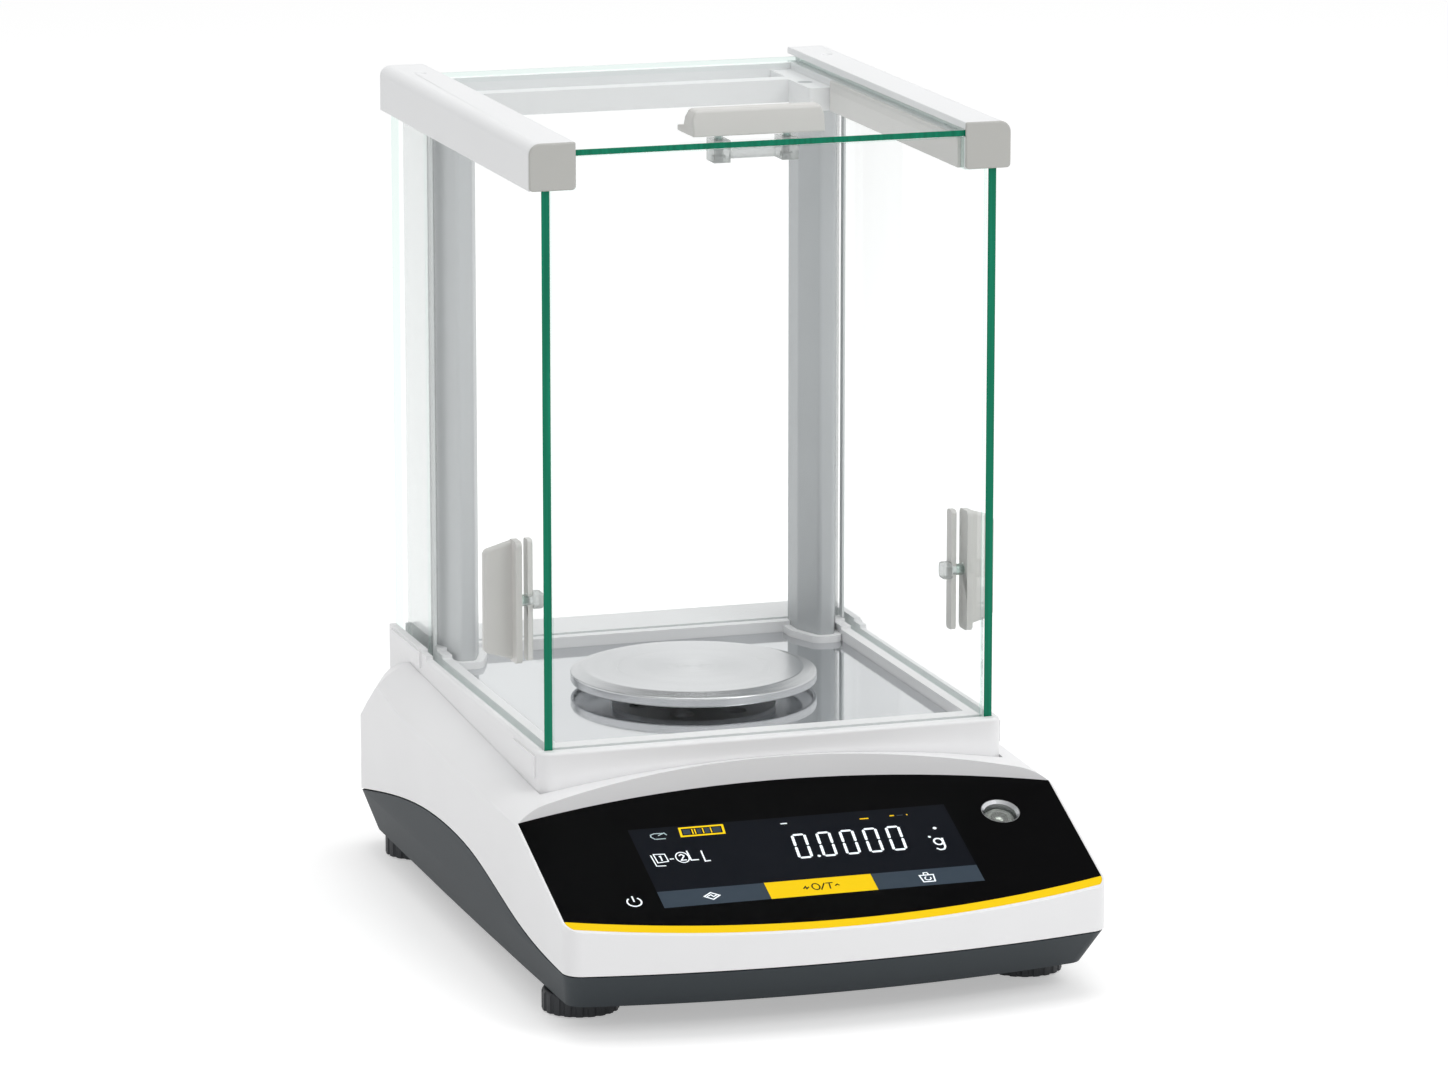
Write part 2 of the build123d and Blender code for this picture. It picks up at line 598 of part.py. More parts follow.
def shield_tray():
    """The white frame that carries the shield: rim, grooves, post collars, rear blocks, open below."""
    half = TRAY_W / 2
    body = slab(-half, half, TRAY_FRONT_Y, TRAY_REAR_Y, TRAY_BOTTOM, RIM_Z)
    body = fillet(body.edges().filter_by(Axis.Z).group_by(Axis.Y)[0], TRAY_CORNER_R)
    body = fillet(body.edges().group_by(Axis.Z)[-1].group_by(Axis.Y)[0], 1.2)
    inner_x = half - TRAY_WALL
    under = slab(-inner_x, inner_x, TRAY_FRONT_Y + TRAY_WALL, TRAY_REAR_Y - TRAY_WALL, 0,
                 FLOOR_BOTTOM - TRAY_WALL)
    for side in SIDES.values():
        block_x = half - REAR_BLOCK_W
        block = slab(side * block_x, side * half, REAR_BLOCK_Y, TRAY_REAR_Y, RIM_Z - 1, RIM_Z + REAR_BLOCK_H)
        step = slab(side * block_x, side * half, REAR_BLOCK_Y - REAR_STEP_L, REAR_BLOCK_Y, RIM_Z - 1,
                    RIM_Z + REAR_BLOCK_H / 2)
        front = slab(side * (half - 1), side * (half + FRONT_BLOCK_OUT), TRAY_FRONT_Y + TRAY_CORNER_R,
                     FRONT_BLOCK_L, TRAY_BOTTOM + 6, RIM_Z - 2)
        rear = slab(side * (half - 1), side * (half + FRONT_BLOCK_OUT), REAR_BLOCK_Y, TRAY_REAR_Y - 4,
                    RIM_Z - 4.5, RIM_Z + REAR_BLOCK_H - 1)
        body += block + step
        body += rear
        body += front
    half_floor = FLOOR_W / 2
    pit = slab(-half_floor, half_floor, FLOOR_FRONT_Y, FLOOR_REAR_Y, FLOOR_BOTTOM, BIG)
    bevel_y = FLOOR_FRONT_Y - RIM_BEVEL
    ramp = Polyline((bevel_y, RIM_Z), (FLOOR_FRONT_Y, FLOOR_Z), (FLOOR_FRONT_Y, RIM_Z), close=True)
    plane = Plane(origin=(-half_floor, 0, 0), x_dir=(0, 1, 0), z_dir=(1, 0, 0))
    pit += extrude(plane * make_face(ramp), FLOOR_W)
    body -= pit
    for side in SIDES.values():
        collar = post_prism(side, TRAY_BOTTOM + 3, RIM_Z - 1.5, 3.0)
        body += collar & slab(-inner_x, inner_x, 0, FLOOR_REAR_Y + 1, 0, BIG)
    body -= under
    for side in SIDES.values():
        body += post_prism(side, TRAY_BOTTOM, FLOOR_BOTTOM, 1.0)
        body -= post_prism(side, GROOVE_Z - 1, BIG, FIT)
        body -= slab(side * (DOOR_X - SLIDE_GAP), side * (DOOR_OUT + SLIDE_GAP), -SLIDE_GAP, BIG, GROOVE_Z,
                     BIG)
        body -= slab(side * (POST_X + POST_W / 2), side * DOOR_X, GUIDE_Y - FIT, TRAY_REAR_Y - 1 + FIT,
                     GROOVE_Z, BIG)
        body -= rod(side * POST_X, POST_SCREW_Y, 0, BIG, SCREW_R + FIT)
        body -= rod(side * POST_X, POST_SCREW_Y, 0, TRAY_BOTTOM + SCREW_HEAD_H, SCREW_HEAD_R + FIT)
    pane_x = DOOR_X - SLIDE_GAP
    body -= slab(-pane_x - 1, pane_x + 1, -FIT, GLASS_T + FIT, GROOVE_Z, BIG)
    rear_x = POST_X + POST_W / 2
    body -= slab(-rear_x - FIT, rear_x + FIT, REAR_PANE_Y - FIT, REAR_PANE_Y + GLASS_T + FIT, GROOVE_Z, BIG)
    body += rod(0, PAN_Y, FLOOR_BOTTOM - TRAY_WALL, RIM_Z - FLOOR_DROP + 2.2, PAN_PORT_R + PORT_COLLAR_T)
    return body - rod(0, PAN_Y, 0, BIG, PAN_PORT_R)


def floor_plate():
    """The polished steel floor of the weighing chamber."""
    half = FLOOR_W / 2 - FIT
    plate = slab(-half, half, FLOOR_FRONT_Y + FIT, FLOOR_REAR_Y - FIT, FLOOR_BOTTOM, FLOOR_Z)
    for side in SIDES.values():
        plate -= post_prism(side, 0, BIG, 3.0 + FIT)
        plate -= slab(side * (POST_X + POST_W / 2 - 1), side * half, POST_FRONT_Y, BIG, 0, BIG)
    return plate - rod(0, PAN_Y, 0, BIG, PAN_PORT_R + PORT_COLLAR_T + FIT)


# Frame of the draft shield


def rail(side):
    """A top rail: rounded outer edge, slots for the top and side glass, hollow core open at the front."""
    body = slab(RAIL_X, RAIL_OUT, -SLIDE_GAP, RAIL_END_Y, RAIL_BOTTOM, RAIL_TOP)
    along = body.edges().filter_by(Axis.Y)
    body = fillet(along.group_by(Axis.Z)[-1].sort_by(Axis.X)[-1], RAIL_ROUND)
    rear = body.edges().group_by(Axis.Y)[-1].group_by(Axis.Z)[-1]
    body = fillet(rear, 1.0)
    top_slot = slab(0, TOP_HALF_W + SLIDE_GAP, -BIG, BIG, TOP_GLASS_Z - SLIDE_GAP,
                    TOP_GLASS_Z + TOP_GLASS_T + SLIDE_GAP)
    side_slot = slab(DOOR_X - SLIDE_GAP, DOOR_OUT + SLIDE_GAP, -BIG, BIG, 0, RAIL_BOTTOM + GROOVE_DEPTH)
    core_z = RAIL_BOTTOM + GROOVE_DEPTH + RAIL_CORE_WALL
    core = slab(TOP_HALF_W + SLIDE_GAP + RAIL_CORE_WALL, RAIL_OUT - RAIL_CORE_WALL, -BIG,
                RAIL_END_Y - RAIL_CORE_WALL,
                core_z, RAIL_TOP - RAIL_CORE_WALL)
    dimple = Pos(RAIL_X + 0.44 * RAIL_W, RAIL_END_Y - 24, RAIL_TOP + DIMPLE_R * 0.6) * Sphere(DIMPLE_R)
    return mirrored(body - top_slot - side_slot - core - dimple, side)


def rail_cap(side):
    """The plate that closes the front end of a rail."""
    cap = slab(RAIL_X, RAIL_OUT, -SLIDE_GAP - CAP_T, -SLIDE_GAP, RAIL_BOTTOM, RAIL_TOP)
    cap = fillet(cap.edges().filter_by(Axis.Y).group_by(Axis.Z)[-1].sort_by(Axis.X)[-1], RAIL_ROUND)
    lower = cap.edges().filter_by(Axis.Y).group_by(Axis.Z)[0]
    cap = fillet(lower, 1.5)
    return mirrored(cap, side)


def rail_strips():
    """The flat strips on the inner faces of the rails, under the top glass."""
    front = GLASS_T + SLIDE_GAP
    return [slab(side * (RAIL_X - STRIP_T), side * RAIL_X, front, STRIP_END_Y, RAIL_BOTTOM,
                 TOP_GLASS_Z - SLIDE_GAP)
            for side in SIDES.values()]


def post(side):
    """A rear post: aluminium extrusion with two screw channels."""
    prism = post_prism(side, GROOVE_Z - 1, RAIL_BOTTOM)
    return prism - [rod(side * x, POST_SCREW_Y, 0, BIG, POST_BORE_R) for x in (POST_X, HEAD_SCREW_X)]


def post_screws():
    """Screws that hold the posts to the tray and to the crossbar's heads."""
    low = [screw(side * POST_X, POST_SCREW_Y, TRAY_BOTTOM, 26) for side in SIDES.values()]
    high_z = RAIL_BOTTOM + BAR_H
    high = [screw(side * HEAD_SCREW_X, POST_SCREW_Y, high_z, 22, up=False) for side in SIDES.values()]
    return low + high


def rear_crossbar():
    """The channel between the rails, with a head over each post and a slot for the rear pane."""
    half = RAIL_X - FIT
    body = slab(-half, half, BAR_Y, BAR_END_Y, RAIL_BOTTOM, RAIL_BOTTOM + BAR_BACK_H)
    hollow = slab(-half + 8, half - 8, REAR_PANE_Y + GLASS_T + BAR_WALL, BAR_END_Y - BAR_WALL,
                  RAIL_BOTTOM + BAR_WALL, BIG)
    front_step = slab(-half - 1, half + 1, BAR_Y - 1, BAR_END_Y - BAR_WALL, RAIL_BOTTOM + BAR_H, BIG)
    body = body - hollow - front_step
    for side in SIDES.values():
        head = slab(side * (POST_X - POST_W / 2 - 0.4), side * half, POST_FRONT_Y - 1.8, BAR_Y,
                    RAIL_BOTTOM, RAIL_BOTTOM + BAR_H)
        body += fillet(head.edges().filter_by(Axis.Z).group_by(Axis.Y)[0], 1.2)
        body -= rod(side * HEAD_SCREW_X, POST_SCREW_Y, 0, BIG, SCREW_R + FIT)
        body -= rod(side * HEAD_SCREW_X, POST_SCREW_Y, RAIL_BOTTOM + BAR_H - SCREW_HEAD_H, BIG,
                    SCREW_HEAD_R + FIT)
    return body


# Glass


def front_pane():
    """The fixed front pane: wide between the doors, narrower between the rails."""
    wide = DOOR_X - SLIDE_GAP - FIT
    narrow = RAIL_X - FIT
    low = slab(-wide, wide, 0, GLASS_T, GROOVE_Z + FIT, RAIL_BOTTOM - FIT)
    return low + slab(-narrow, narrow, 0, GLASS_T, RAIL_BOTTOM - 1, TOP_GLASS_Z - SLIDE_GAP)


def rear_pane():
    """The fixed rear pane behind the posts."""
    half = POST_X + POST_W / 2
    return slab(-half, half, REAR_PANE_Y, REAR_PANE_Y + GLASS_T, GROOVE_Z + FIT, RAIL_BOTTOM)


def guide_pane(side):
    """The translucent pane behind a post, beside the sliding door."""
    inner = POST_X + POST_W / 2
    return slab(side * inner, side * (inner + GUIDE_T), GUIDE_Y, TRAY_REAR_Y - 1, GROOVE_Z + FIT, RAIL_BOTTOM)


def side_glass(side):
    """A sliding side door, drilled for its handle."""
    pane = slab(side * DOOR_X, side * DOOR_OUT, 0, DOOR_L, GLASS_Z, DOOR_TOP)
    return pane - cross_rod(side * (DOOR_X - 1), side * (DOOR_OUT + 1), STEM_Y, HANDLE_Z, STEM_R + FIT)


def seal_strip(side):
    """The soft strip on the door's inner face that meets the post."""
    z0 = RIM_Z + REAR_BLOCK_H + SLIDE_GAP
    return slab(side * (DOOR_X - SEAL_T), side * DOOR_X, SEAL_Y, SEAL_Y + SEAL_W, z0, RAIL_BOTTOM - SLIDE_GAP)


def door_grip(side):
    """The outer handle: a flange on the glass and a tapering fin."""
    low = HANDLE_Z - HANDLE_H / 2
    high = HANDLE_Z + HANDLE_H / 2
    flange = slab(DOOR_OUT, DOOR_OUT + HANDLE_FLANGE_T, HANDLE_Y - HANDLE_FLANGE_W / 2,
                  HANDLE_Y + HANDLE_FLANGE_W / 2, low, high)
    flange = fillet(flange.edges().filter_by(Axis.X), 2.0)
    profile = Polyline((DOOR_OUT + 1, low + 0.3), (DOOR_OUT + FIN_OUT, low + 3.6),
                       (DOOR_OUT + FIN_OUT, high - 3.6),
                       (DOOR_OUT + 1, high - 0.3), close=True)
    plane = Plane(origin=(0, HANDLE_Y + 1.2, 0), x_dir=(1, 0, 0), z_dir=(0, -1, 0))
    face = make_face(profile)
    face = fillet(face.vertices().group_by(Axis.X)[-1], 2.4)
    fin = extrude(plane * face, -FIN_T)
    fin = fillet(fin.edges().group_by(Axis.X)[-1], 1.2)
    return mirrored(flange + fin, side)


def door_plate(side):
    """The inner plate of the handle."""
    low = HANDLE_Z - HANDLE_H / 2
    plate = slab(DOOR_X - PLATE_T, DOOR_X, HANDLE_Y - 1.0, HANDLE_Y + 4.4, low, low + HANDLE_H)
    plate = fillet(plate.edges().filter_by(Axis.X), 1.5)
    plate -= cross_rod(DOOR_X - PLATE_T - 1, DOOR_X + 1, STEM_Y, HANDLE_Z, STEM_R + FIT)
    return mirrored(plate, side)


def door_knob(side):
    """The clamping knob whose stem passes through the glass into the grip."""
    face_x = DOOR_X - PLATE_T
    head = slab(face_x - KNOB_OUT, face_x, STEM_Y - 3.4, STEM_Y + 2.9, HANDLE_Z - KNOB_H / 2,
                HANDLE_Z + KNOB_H / 2)
    head = fillet(head.edges().filter_by(Axis.X), 1.6)
    head = fillet(head.edges().group_by(Axis.X)[0], 0.8)
    return mirrored(head + cross_rod(face_x - 1, DOOR_OUT, STEM_Y, HANDLE_Z, STEM_R), side)


def top_glass():
    """The sliding top door, drilled for its handle."""
    pane = slab(-TOP_HALF_W, TOP_HALF_W, 0, TOP_GLASS_L, TOP_GLASS_Z, TOP_GLASS_Z + TOP_GLASS_T)
    return pane - [rod(x, CLAMP_Y, 0, BIG, SCREW_R + FIT) for x in CLAMP_XS]


def top_grip():
    """The handle on the top door: a rounded wedge with a lower ledge behind."""
    z0 = TOP_GLASS_Z + TOP_GLASS_T
    high = z0 + TOP_GRIP_H
    rear = TOP_GRIP_Y + TOP_GRIP_L
    points = [(TOP_GRIP_Y, z0), (TOP_GRIP_Y + 1.6, high), (TOP_GRIP_Y + 8.5, high),
              (TOP_GRIP_Y + 12, z0 + 3), (rear, z0 + 2), (rear, z0)]
    plane = Plane(origin=(-TOP_GRIP_W / 2, 0, 0), x_dir=(0, 1, 0), z_dir=(1, 0, 0))
    grip = extrude(plane * make_face(Polyline(*points, close=True)), TOP_GRIP_W)
    for side in SIDES.values():
        lean = Pos(side * (TOP_GRIP_W / 2 + 2), 0, z0) * Rot(0, side * -20, 0)
        lean *= Pos(side * 2.2, 0, 0) * Box(4, BIG, 80)
        grip -= lean
    grip = fillet(grip.edges().group_by(Axis.Z)[-1], 1.5)
    return grip - [rod(x, CLAMP_Y, z0 - 1, z0 + 4, SCREW_R) for x in CLAMP_XS]


def top_clamp():
    """The piece under the top glass that the grip is screwed to."""
    top = TOP_GLASS_Z
    y0 = CLAMP_Y - CLAMP_L / 2
    y1 = CLAMP_Y + CLAMP_L / 2
    half = CLAMP_BLOCK_W / 2
    blocks = [slab(x - half, x + half, y0, y1, top - CLAMP_DROP, top) for x in CLAMP_XS]
    bar = slab(CLAMP_XS[0], CLAMP_XS[1], y0 + 1.5, y1 - 1.5, top - CLAMP_DROP + 1.2, top - CLAMP_DROP + 4.2)
    clamp = blocks[0] + blocks[1] + bar
    clamp = clamp - [rod(x, CLAMP_Y, 0, BIG, SCREW_R + FIT) for x in CLAMP_XS]
    return clamp - [rod(x, CLAMP_Y, 0, top - CLAMP_DROP + SCREW_HEAD_H, 2.4 + FIT) for x in CLAMP_XS]


def top_clamp_screws():
    """The two screws of the top handle."""
    z = TOP_GLASS_Z - CLAMP_DROP
    return [screw(x, CLAMP_Y, z, CLAMP_DROP + TOP_GLASS_T + 3.5, head_r=2.4) for x in CLAMP_XS]


# Weighing pan


def revolved(points, x, y):
    """A turned piece from its outline of radius and height."""
    plane = Plane.XZ
    profile = plane * make_face(Polyline(*points, close=True))
    return Pos(x, y, 0) * revolve(profile, Axis.Z)


def weighing_pan():
    """The round steel pan: flat top, bevelled shoulder, turned-down rim."""
    t = PAN_SHEET
    bevel = 5.0
    drop = 1.5
    points = [(0, PAN_TOP), (PAN_R - bevel, PAN_TOP), (PAN_R, PAN_TOP - drop), (PAN_R, PAN_BOTTOM),
              (PAN_R - t, PAN_BOTTOM),
              (PAN_R - t, PAN_TOP - drop - t), (PAN_R - bevel, PAN_TOP - t), (0, PAN_TOP - t)]
    return revolved(points, 0, PAN_Y)


def pan_support():
    """The disc and socket under the pan that seat on the load pin."""
    disc_z = SUPPORT_TOP - SUPPORT_T
    disc = rod(0, PAN_Y, disc_z, SUPPORT_TOP, SUPPORT_R)
    for i in range(6):
        turn = math.radians(60 * i)
        disc -= rod(20 * math.cos(turn), PAN_Y + 20 * math.sin(turn), 0, BIG, 4.5)
    boss = rod(0, PAN_Y, SOCKET_MOUTH, disc_z + 0.5, BOSS_R)
    return disc + boss - rod(0, PAN_Y, 0, PIN_TOP + FIT, PIN_R + RUN_GAP)


# Inside
def cell_block():
    """The weigh cell: one block cut into a parallelogram, its front end free to sink."""
    half = CELL_W / 2
    top = INNER_Z + CELL_H
    block = slab(-half, half, CELL_FRONT_Y, CELL_REAR_Y, INNER_Z, top)
    y0 = CELL_FRONT_Y + 0.38 * CELL_L
    y1 = CELL_REAR_Y - 0.24 * CELL_L
    z0 = INNER_Z + 0.26 * CELL_H
    z1 = top - 0.2 * CELL_H
    block -= slab(-half - 1, half + 1, y0, y1, z0, z1)
    notch_r = 3.0
    for y in (y0 + notch_r, y1 - notch_r):
        block -= cross_rod(-half - 1, half + 1, y, top - WEB - notch_r, notch_r)
        block -= cross_rod(-half - 1, half + 1, y, z0 - 2.0, notch_r)
    under = slab(-half - 1, half + 1, CELL_FRONT_Y - 1, y1, INNER_Z - 1, z0 - 2.0 - notch_r - WEB)
    return block - under


def load_pin():
    """The pin that carries the pan support, on the weigh cell's free end."""
    z0 = INNER_Z + CELL_H
    pin = rod(0, PAN_Y, z0, PIN_TOP, PIN_R) + rod(0, PAN_Y, z0, z0 + 3, PIN_R + 4)
    return chamfer(pin.edges().group_by(Axis.Z)[-1], 1.0)


def magnet_pot():
    """The pot magnet behind the weigh cell, with its ring gap."""
    pot = rod(0, POT_Y, INNER_Z, INNER_Z + POT_H, POT_R)
    return pot - (rod(0, POT_Y, INNER_Z + 4, BIG, POT_R - 4) - rod(0, POT_Y, 0, BIG, COIL_R - COIL_T))


def coil():
    """The copper coil in the pot's gap, hung from the lever."""
    top = INNER_Z + CELL_H
    ring = rod(0, POT_Y, top - COIL_H - 6, top, COIL_R) - rod(0, POT_Y, 0, BIG, COIL_R - COIL_T + 1)
    return ring


def lever():
    """The lever from the weigh cell to the coil."""
    top = INNER_Z + CELL_H
    return slab(-LEVER_W / 2, LEVER_W / 2, CELL_REAR_Y - 30, POT_Y + COIL_R + 2, top, top + LEVER_T)


def main_board():
    """The main circuit board behind the front panel, with its larger chips."""
    z = INNER_Z + BOARD_UP
    board = slab(-BOARD_W / 2, BOARD_W / 2, BOARD_Y[0], BOARD_Y[1], z, z + BOARD_T)
    board -= [rod(x, y, 0, BIG, SCREW_R + FIT) for x, y in BOARD_POSTS]
    for x in CHIP_XS:
        for y in CHIP_YS:
            board += slab(x, x + CHIP, y, y + CHIP, z + BOARD_T, z + BOARD_T + CHIP_H)
    return board


def display_cable():
    """The flat cable from the display down to the main board."""
    z = INNER_Z + BOARD_UP + BOARD_T
    cable = slab(-CABLE_HALF_W, CABLE_HALF_W, CABLE_Y - CABLE_T, CABLE_Y, z, BIG)
    return cable - (on_panel(0, 0, PANEL_GLASS_T + MODULE_T) * Pos(0, 0, BIG / 2) * Box(BIG, BIG, BIG))


def io_board():
    """The small board that carries the rear sockets."""
    return slab(IO_X[0], IO_X[1], IO_Y[0], IO_Y[1], IO_Z, IO_Z + BOARD_T)


def power_jack():
    """The low-voltage power socket at the rear."""
    z0 = IO_Z + BOARD_T
    y1 = REAR_Y - PORT_BACK
    body = slab(JACK_X - JACK_W / 2 + FIT, JACK_X + JACK_W / 2 - FIT, y1 - PORT_L, y1, z0, z0 + JACK_W - FIT)
    centre = Pos(JACK_X, y1, z0 + JACK_W / 2) * Rot(90, 0, 0)
    body -= centre * Cylinder(JACK_R, 2 * (PORT_L - JACK_FLOOR))
    pin = Pos(JACK_X, y1 - (PORT_L + JACK_FLOOR) / 2, z0 + JACK_W / 2) * Rot(90, 0, 0)
    return body + pin * Cylinder(JACK_PIN_R, PORT_L - JACK_FLOOR)


def data_port():
    """The square data socket at the rear."""
    z0 = IO_Z + BOARD_T
    y1 = REAR_Y - PORT_BACK
    body = slab(USB_X - USB_W / 2 + FIT, USB_X + USB_W / 2 - FIT, y1 - PORT_L, y1, z0, z0 + USB_H - FIT)
    hole = slab(USB_X - 4.3, USB_X + 4.3, y1 - PORT_L + 3, y1 + 1, z0 + 1.4, z0 + 9.4)
    tongue = slab(USB_X - 2.8, USB_X + 2.8, y1 - PORT_L + 2, y1 - 1.5, z0 + 4, z0 + 6.8)
    return body - hole + tongue


pieces = {
    "top_shell": top_shell(),
    "base_shell": base_shell(),
    "accent_strip": accent_strip(),
    "panel_glass": panel_glass(),
    "display_screen": display_screen(),
    "display_module": display_module(),
    "soft_keys": soft_keys(),
    "zero_tare_key": tare_key(),
    "level_bezel": level_bezel(),
    "level_vial": level_vial(),
    "foot_bushes": foot_bushes(),
    "hook_port_cover": hook_port_cover(),
    "housing_screws": housing_screws(),
    "shield_tray": shield_tray(),
    "floor_plate": floor_plate(),
    "rail_strips": rail_strips(),
    "rail_caps": [rail_cap(side) for side in SIDES.values()],
    "guide_panes": [guide_pane(side) for side in SIDES.values()],
    "rear_crossbar": rear_crossbar(),
    "post_screws": post_screws(),
    "front_pane": front_pane(),
    "rear_pane": rear_pane(),
    "top_glass": top_glass(),
    "top_grip": top_grip(),
    "top_clamp": top_clamp(),
    "top_clamp_screws": top_clamp_screws(),
    "weighing_pan": weighing_pan(),
    "pan_support": pan_support(),
    "weigh_cell_block": cell_block(),
    "load_pin": load_pin(),
    "magnet_pot": magnet_pot(),
    "coil": coil(),
    "balance_lever": lever(),
    "circuit_boards": [main_board(), io_board()],
    "display_cable": display_cable(),
    "power_jack": power_jack(),
    "data_port": data_port(),
}
for name, side in SIDES.items():
    pieces["side_glass_" + name] = side_glass(side)
    pieces["seal_strip_" + name] = seal_strip(side)
    pieces["door_grip_" + name] = door_grip(side)
    pieces["door_plate_" + name] = door_plate(side)
    pieces["door_knob_" + name] = door_knob(side)
    pieces["rail_" + name] = rail(side)
    pieces["post_" + name] = post(side)
for name, (x, y) in FEET.items():
    pieces["foot_" + name] = foot(x, y)
    pieces["foot_pad_" + name] = foot_pad(x, y)

middle = Pos(0, -(FRONT_MID_Y + REAR_Y) / 2, 0)
os.makedirs("parts", exist_ok=True)
for name, piece in pieces.items():
    solids = piece if isinstance(piece, list) else [piece]
    placed = [middle * one for one in solids]
    whole = placed[0] if len(placed) == 1 else Compound(children=placed)
    export_step(whole, f"parts/{name}.step")
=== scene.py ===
"""Looks of a laboratory balance with a glass draft shield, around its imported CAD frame. Metres, +Z up."""
import json
import math

import bmesh
import bpy
from mathutils import Matrix, Vector

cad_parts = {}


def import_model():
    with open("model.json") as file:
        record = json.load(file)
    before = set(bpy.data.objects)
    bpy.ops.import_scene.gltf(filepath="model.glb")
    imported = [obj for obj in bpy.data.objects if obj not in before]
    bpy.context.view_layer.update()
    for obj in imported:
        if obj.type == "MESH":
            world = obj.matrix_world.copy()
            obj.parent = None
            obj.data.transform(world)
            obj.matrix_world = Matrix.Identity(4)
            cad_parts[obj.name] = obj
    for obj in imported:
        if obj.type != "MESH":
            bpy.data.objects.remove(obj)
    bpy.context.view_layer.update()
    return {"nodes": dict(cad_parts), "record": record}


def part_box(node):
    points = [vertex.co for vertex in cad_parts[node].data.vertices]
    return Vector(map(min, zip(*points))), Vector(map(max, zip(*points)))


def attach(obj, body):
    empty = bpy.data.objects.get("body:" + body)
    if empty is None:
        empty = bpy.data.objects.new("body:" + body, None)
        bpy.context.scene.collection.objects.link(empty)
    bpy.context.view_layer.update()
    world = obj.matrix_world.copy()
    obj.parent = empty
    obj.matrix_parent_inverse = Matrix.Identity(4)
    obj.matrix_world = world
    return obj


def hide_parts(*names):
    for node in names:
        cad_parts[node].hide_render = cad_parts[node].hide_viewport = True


MM = 0.001

# The photograph's camera: it stands in front, to the left and above the object
CAMERA_AT = (-0.7182, -2.2284, 0.6530)
CAMERA_TURN = math.radians(17.90)
CAMERA_DOWN = math.radians(12.37)
CAMERA_LENS = 165.9
SENSOR_W = 36.0

# Light
WORLD_SOFT = 0.62
GLOSS_FALL = (0.45, 0.75)    # heights between which the room darkens in the gloss
GLOSS_LOW = 0.35
KEY_AT = (1.1, -1.5, 1.9)
KEY_POWER = 12.5
KEY_SIZE = 1.1
TOP_AT = (0.1, 0.2, 2.4)
TOP_POWER = 17.0
TOP_SIZE = 1.6
AIM = (0.0, 0.0, 0.12)
FLOOR_SIZE = 40.0
FLOOR_GLOW = 2.55
FLOOR_GLOW_SHARE = 0.16

# Joining and rounding of the CAD meshes
MERGE_GAP = 0.002 * MM
FLAT_ANGLE = math.radians(0.6)
FRONT_EDGE = 0.5 * MM        # depth of what counts as a pane's front edge
FACE_ON = 0.9                # share of a normal along the thin axis that makes it a pane's face
SHARP_ANGLE = math.radians(28)

# The front panel
PANEL_TILT = math.radians(21.3)
PANEL_GLASS_T = 1.6 * MM
PRINT_LIFT = 0.03 * MM
PRINT_DEPTH = 0.05 * MM

# The display's figures, in millimetres on the panel
DIGIT_AT = (56.3, 10.2)
DIGIT_W = 5.5
DIGIT_H = 14.4
DIGIT_LEAN = 1.25
DIGIT_PITCH = 8.55
DECIMALS = 4
SEGMENT_W = 1.0
SEGMENT_GAP = 0.18
POINT_ROOM = 0.5
POINT_BACK = 2.1     # from the next figure's left side to the point
POINT_UP = 0.7
POINT_R = 0.6
FINE = 0.4           # widths of the drawn lines
THIN = 0.42
MEDIUM = 0.5
STRONG = 0.55
BOLD = 0.7

# The spirit level, in millimetres
BUBBLE_R = 2.1
BUBBLE_FLATNESS = 0.28
BUBBLE_AT = (0.4, 0.5, -0.5)
LEVEL_RING_R = 2.9
LEVEL_RING_W = 0.3
LEVEL_FACE = 2.2     # from the vial's middle to its face

# Radii of the shown edges, in millimetres
ROUNDED = {
    "top_shell": 0.5, "shield_tray": 0.5, "rail_left": 0.5, "rail_right": 0.5, "rail_caps": 0.5,
    "rear_crossbar": 0.4, "door_grip_left": 0.5, "door_grip_right": 0.5, "door_plate_left": 0.3,
    "door_plate_right": 0.3, "door_knob_left": 0.3, "door_knob_right": 0.3, "top_grip": 0.6,
    "post_left": 0.3, "post_right": 0.3, "floor_plate": 0.2, "rail_strips": 0.2, "base_shell": 0.4,
}
PAN_RADIUS = 0.45
PANE_RADIUS = 0.25

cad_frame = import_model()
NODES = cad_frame["nodes"]
BODY_OF = {n: body for body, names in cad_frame["record"]["behaviour"]["bodies"].items() for n in names}


def srgb(*levels):
    """A screen colour of 0 to 255 as the linear colour that shaders take."""
    linear = [v / 255 / 12.92 if v <= 10 else ((v / 255 + 0.055) / 1.055) ** 2.4 for v in levels]
    return (*linear, 1.0)


# Materials


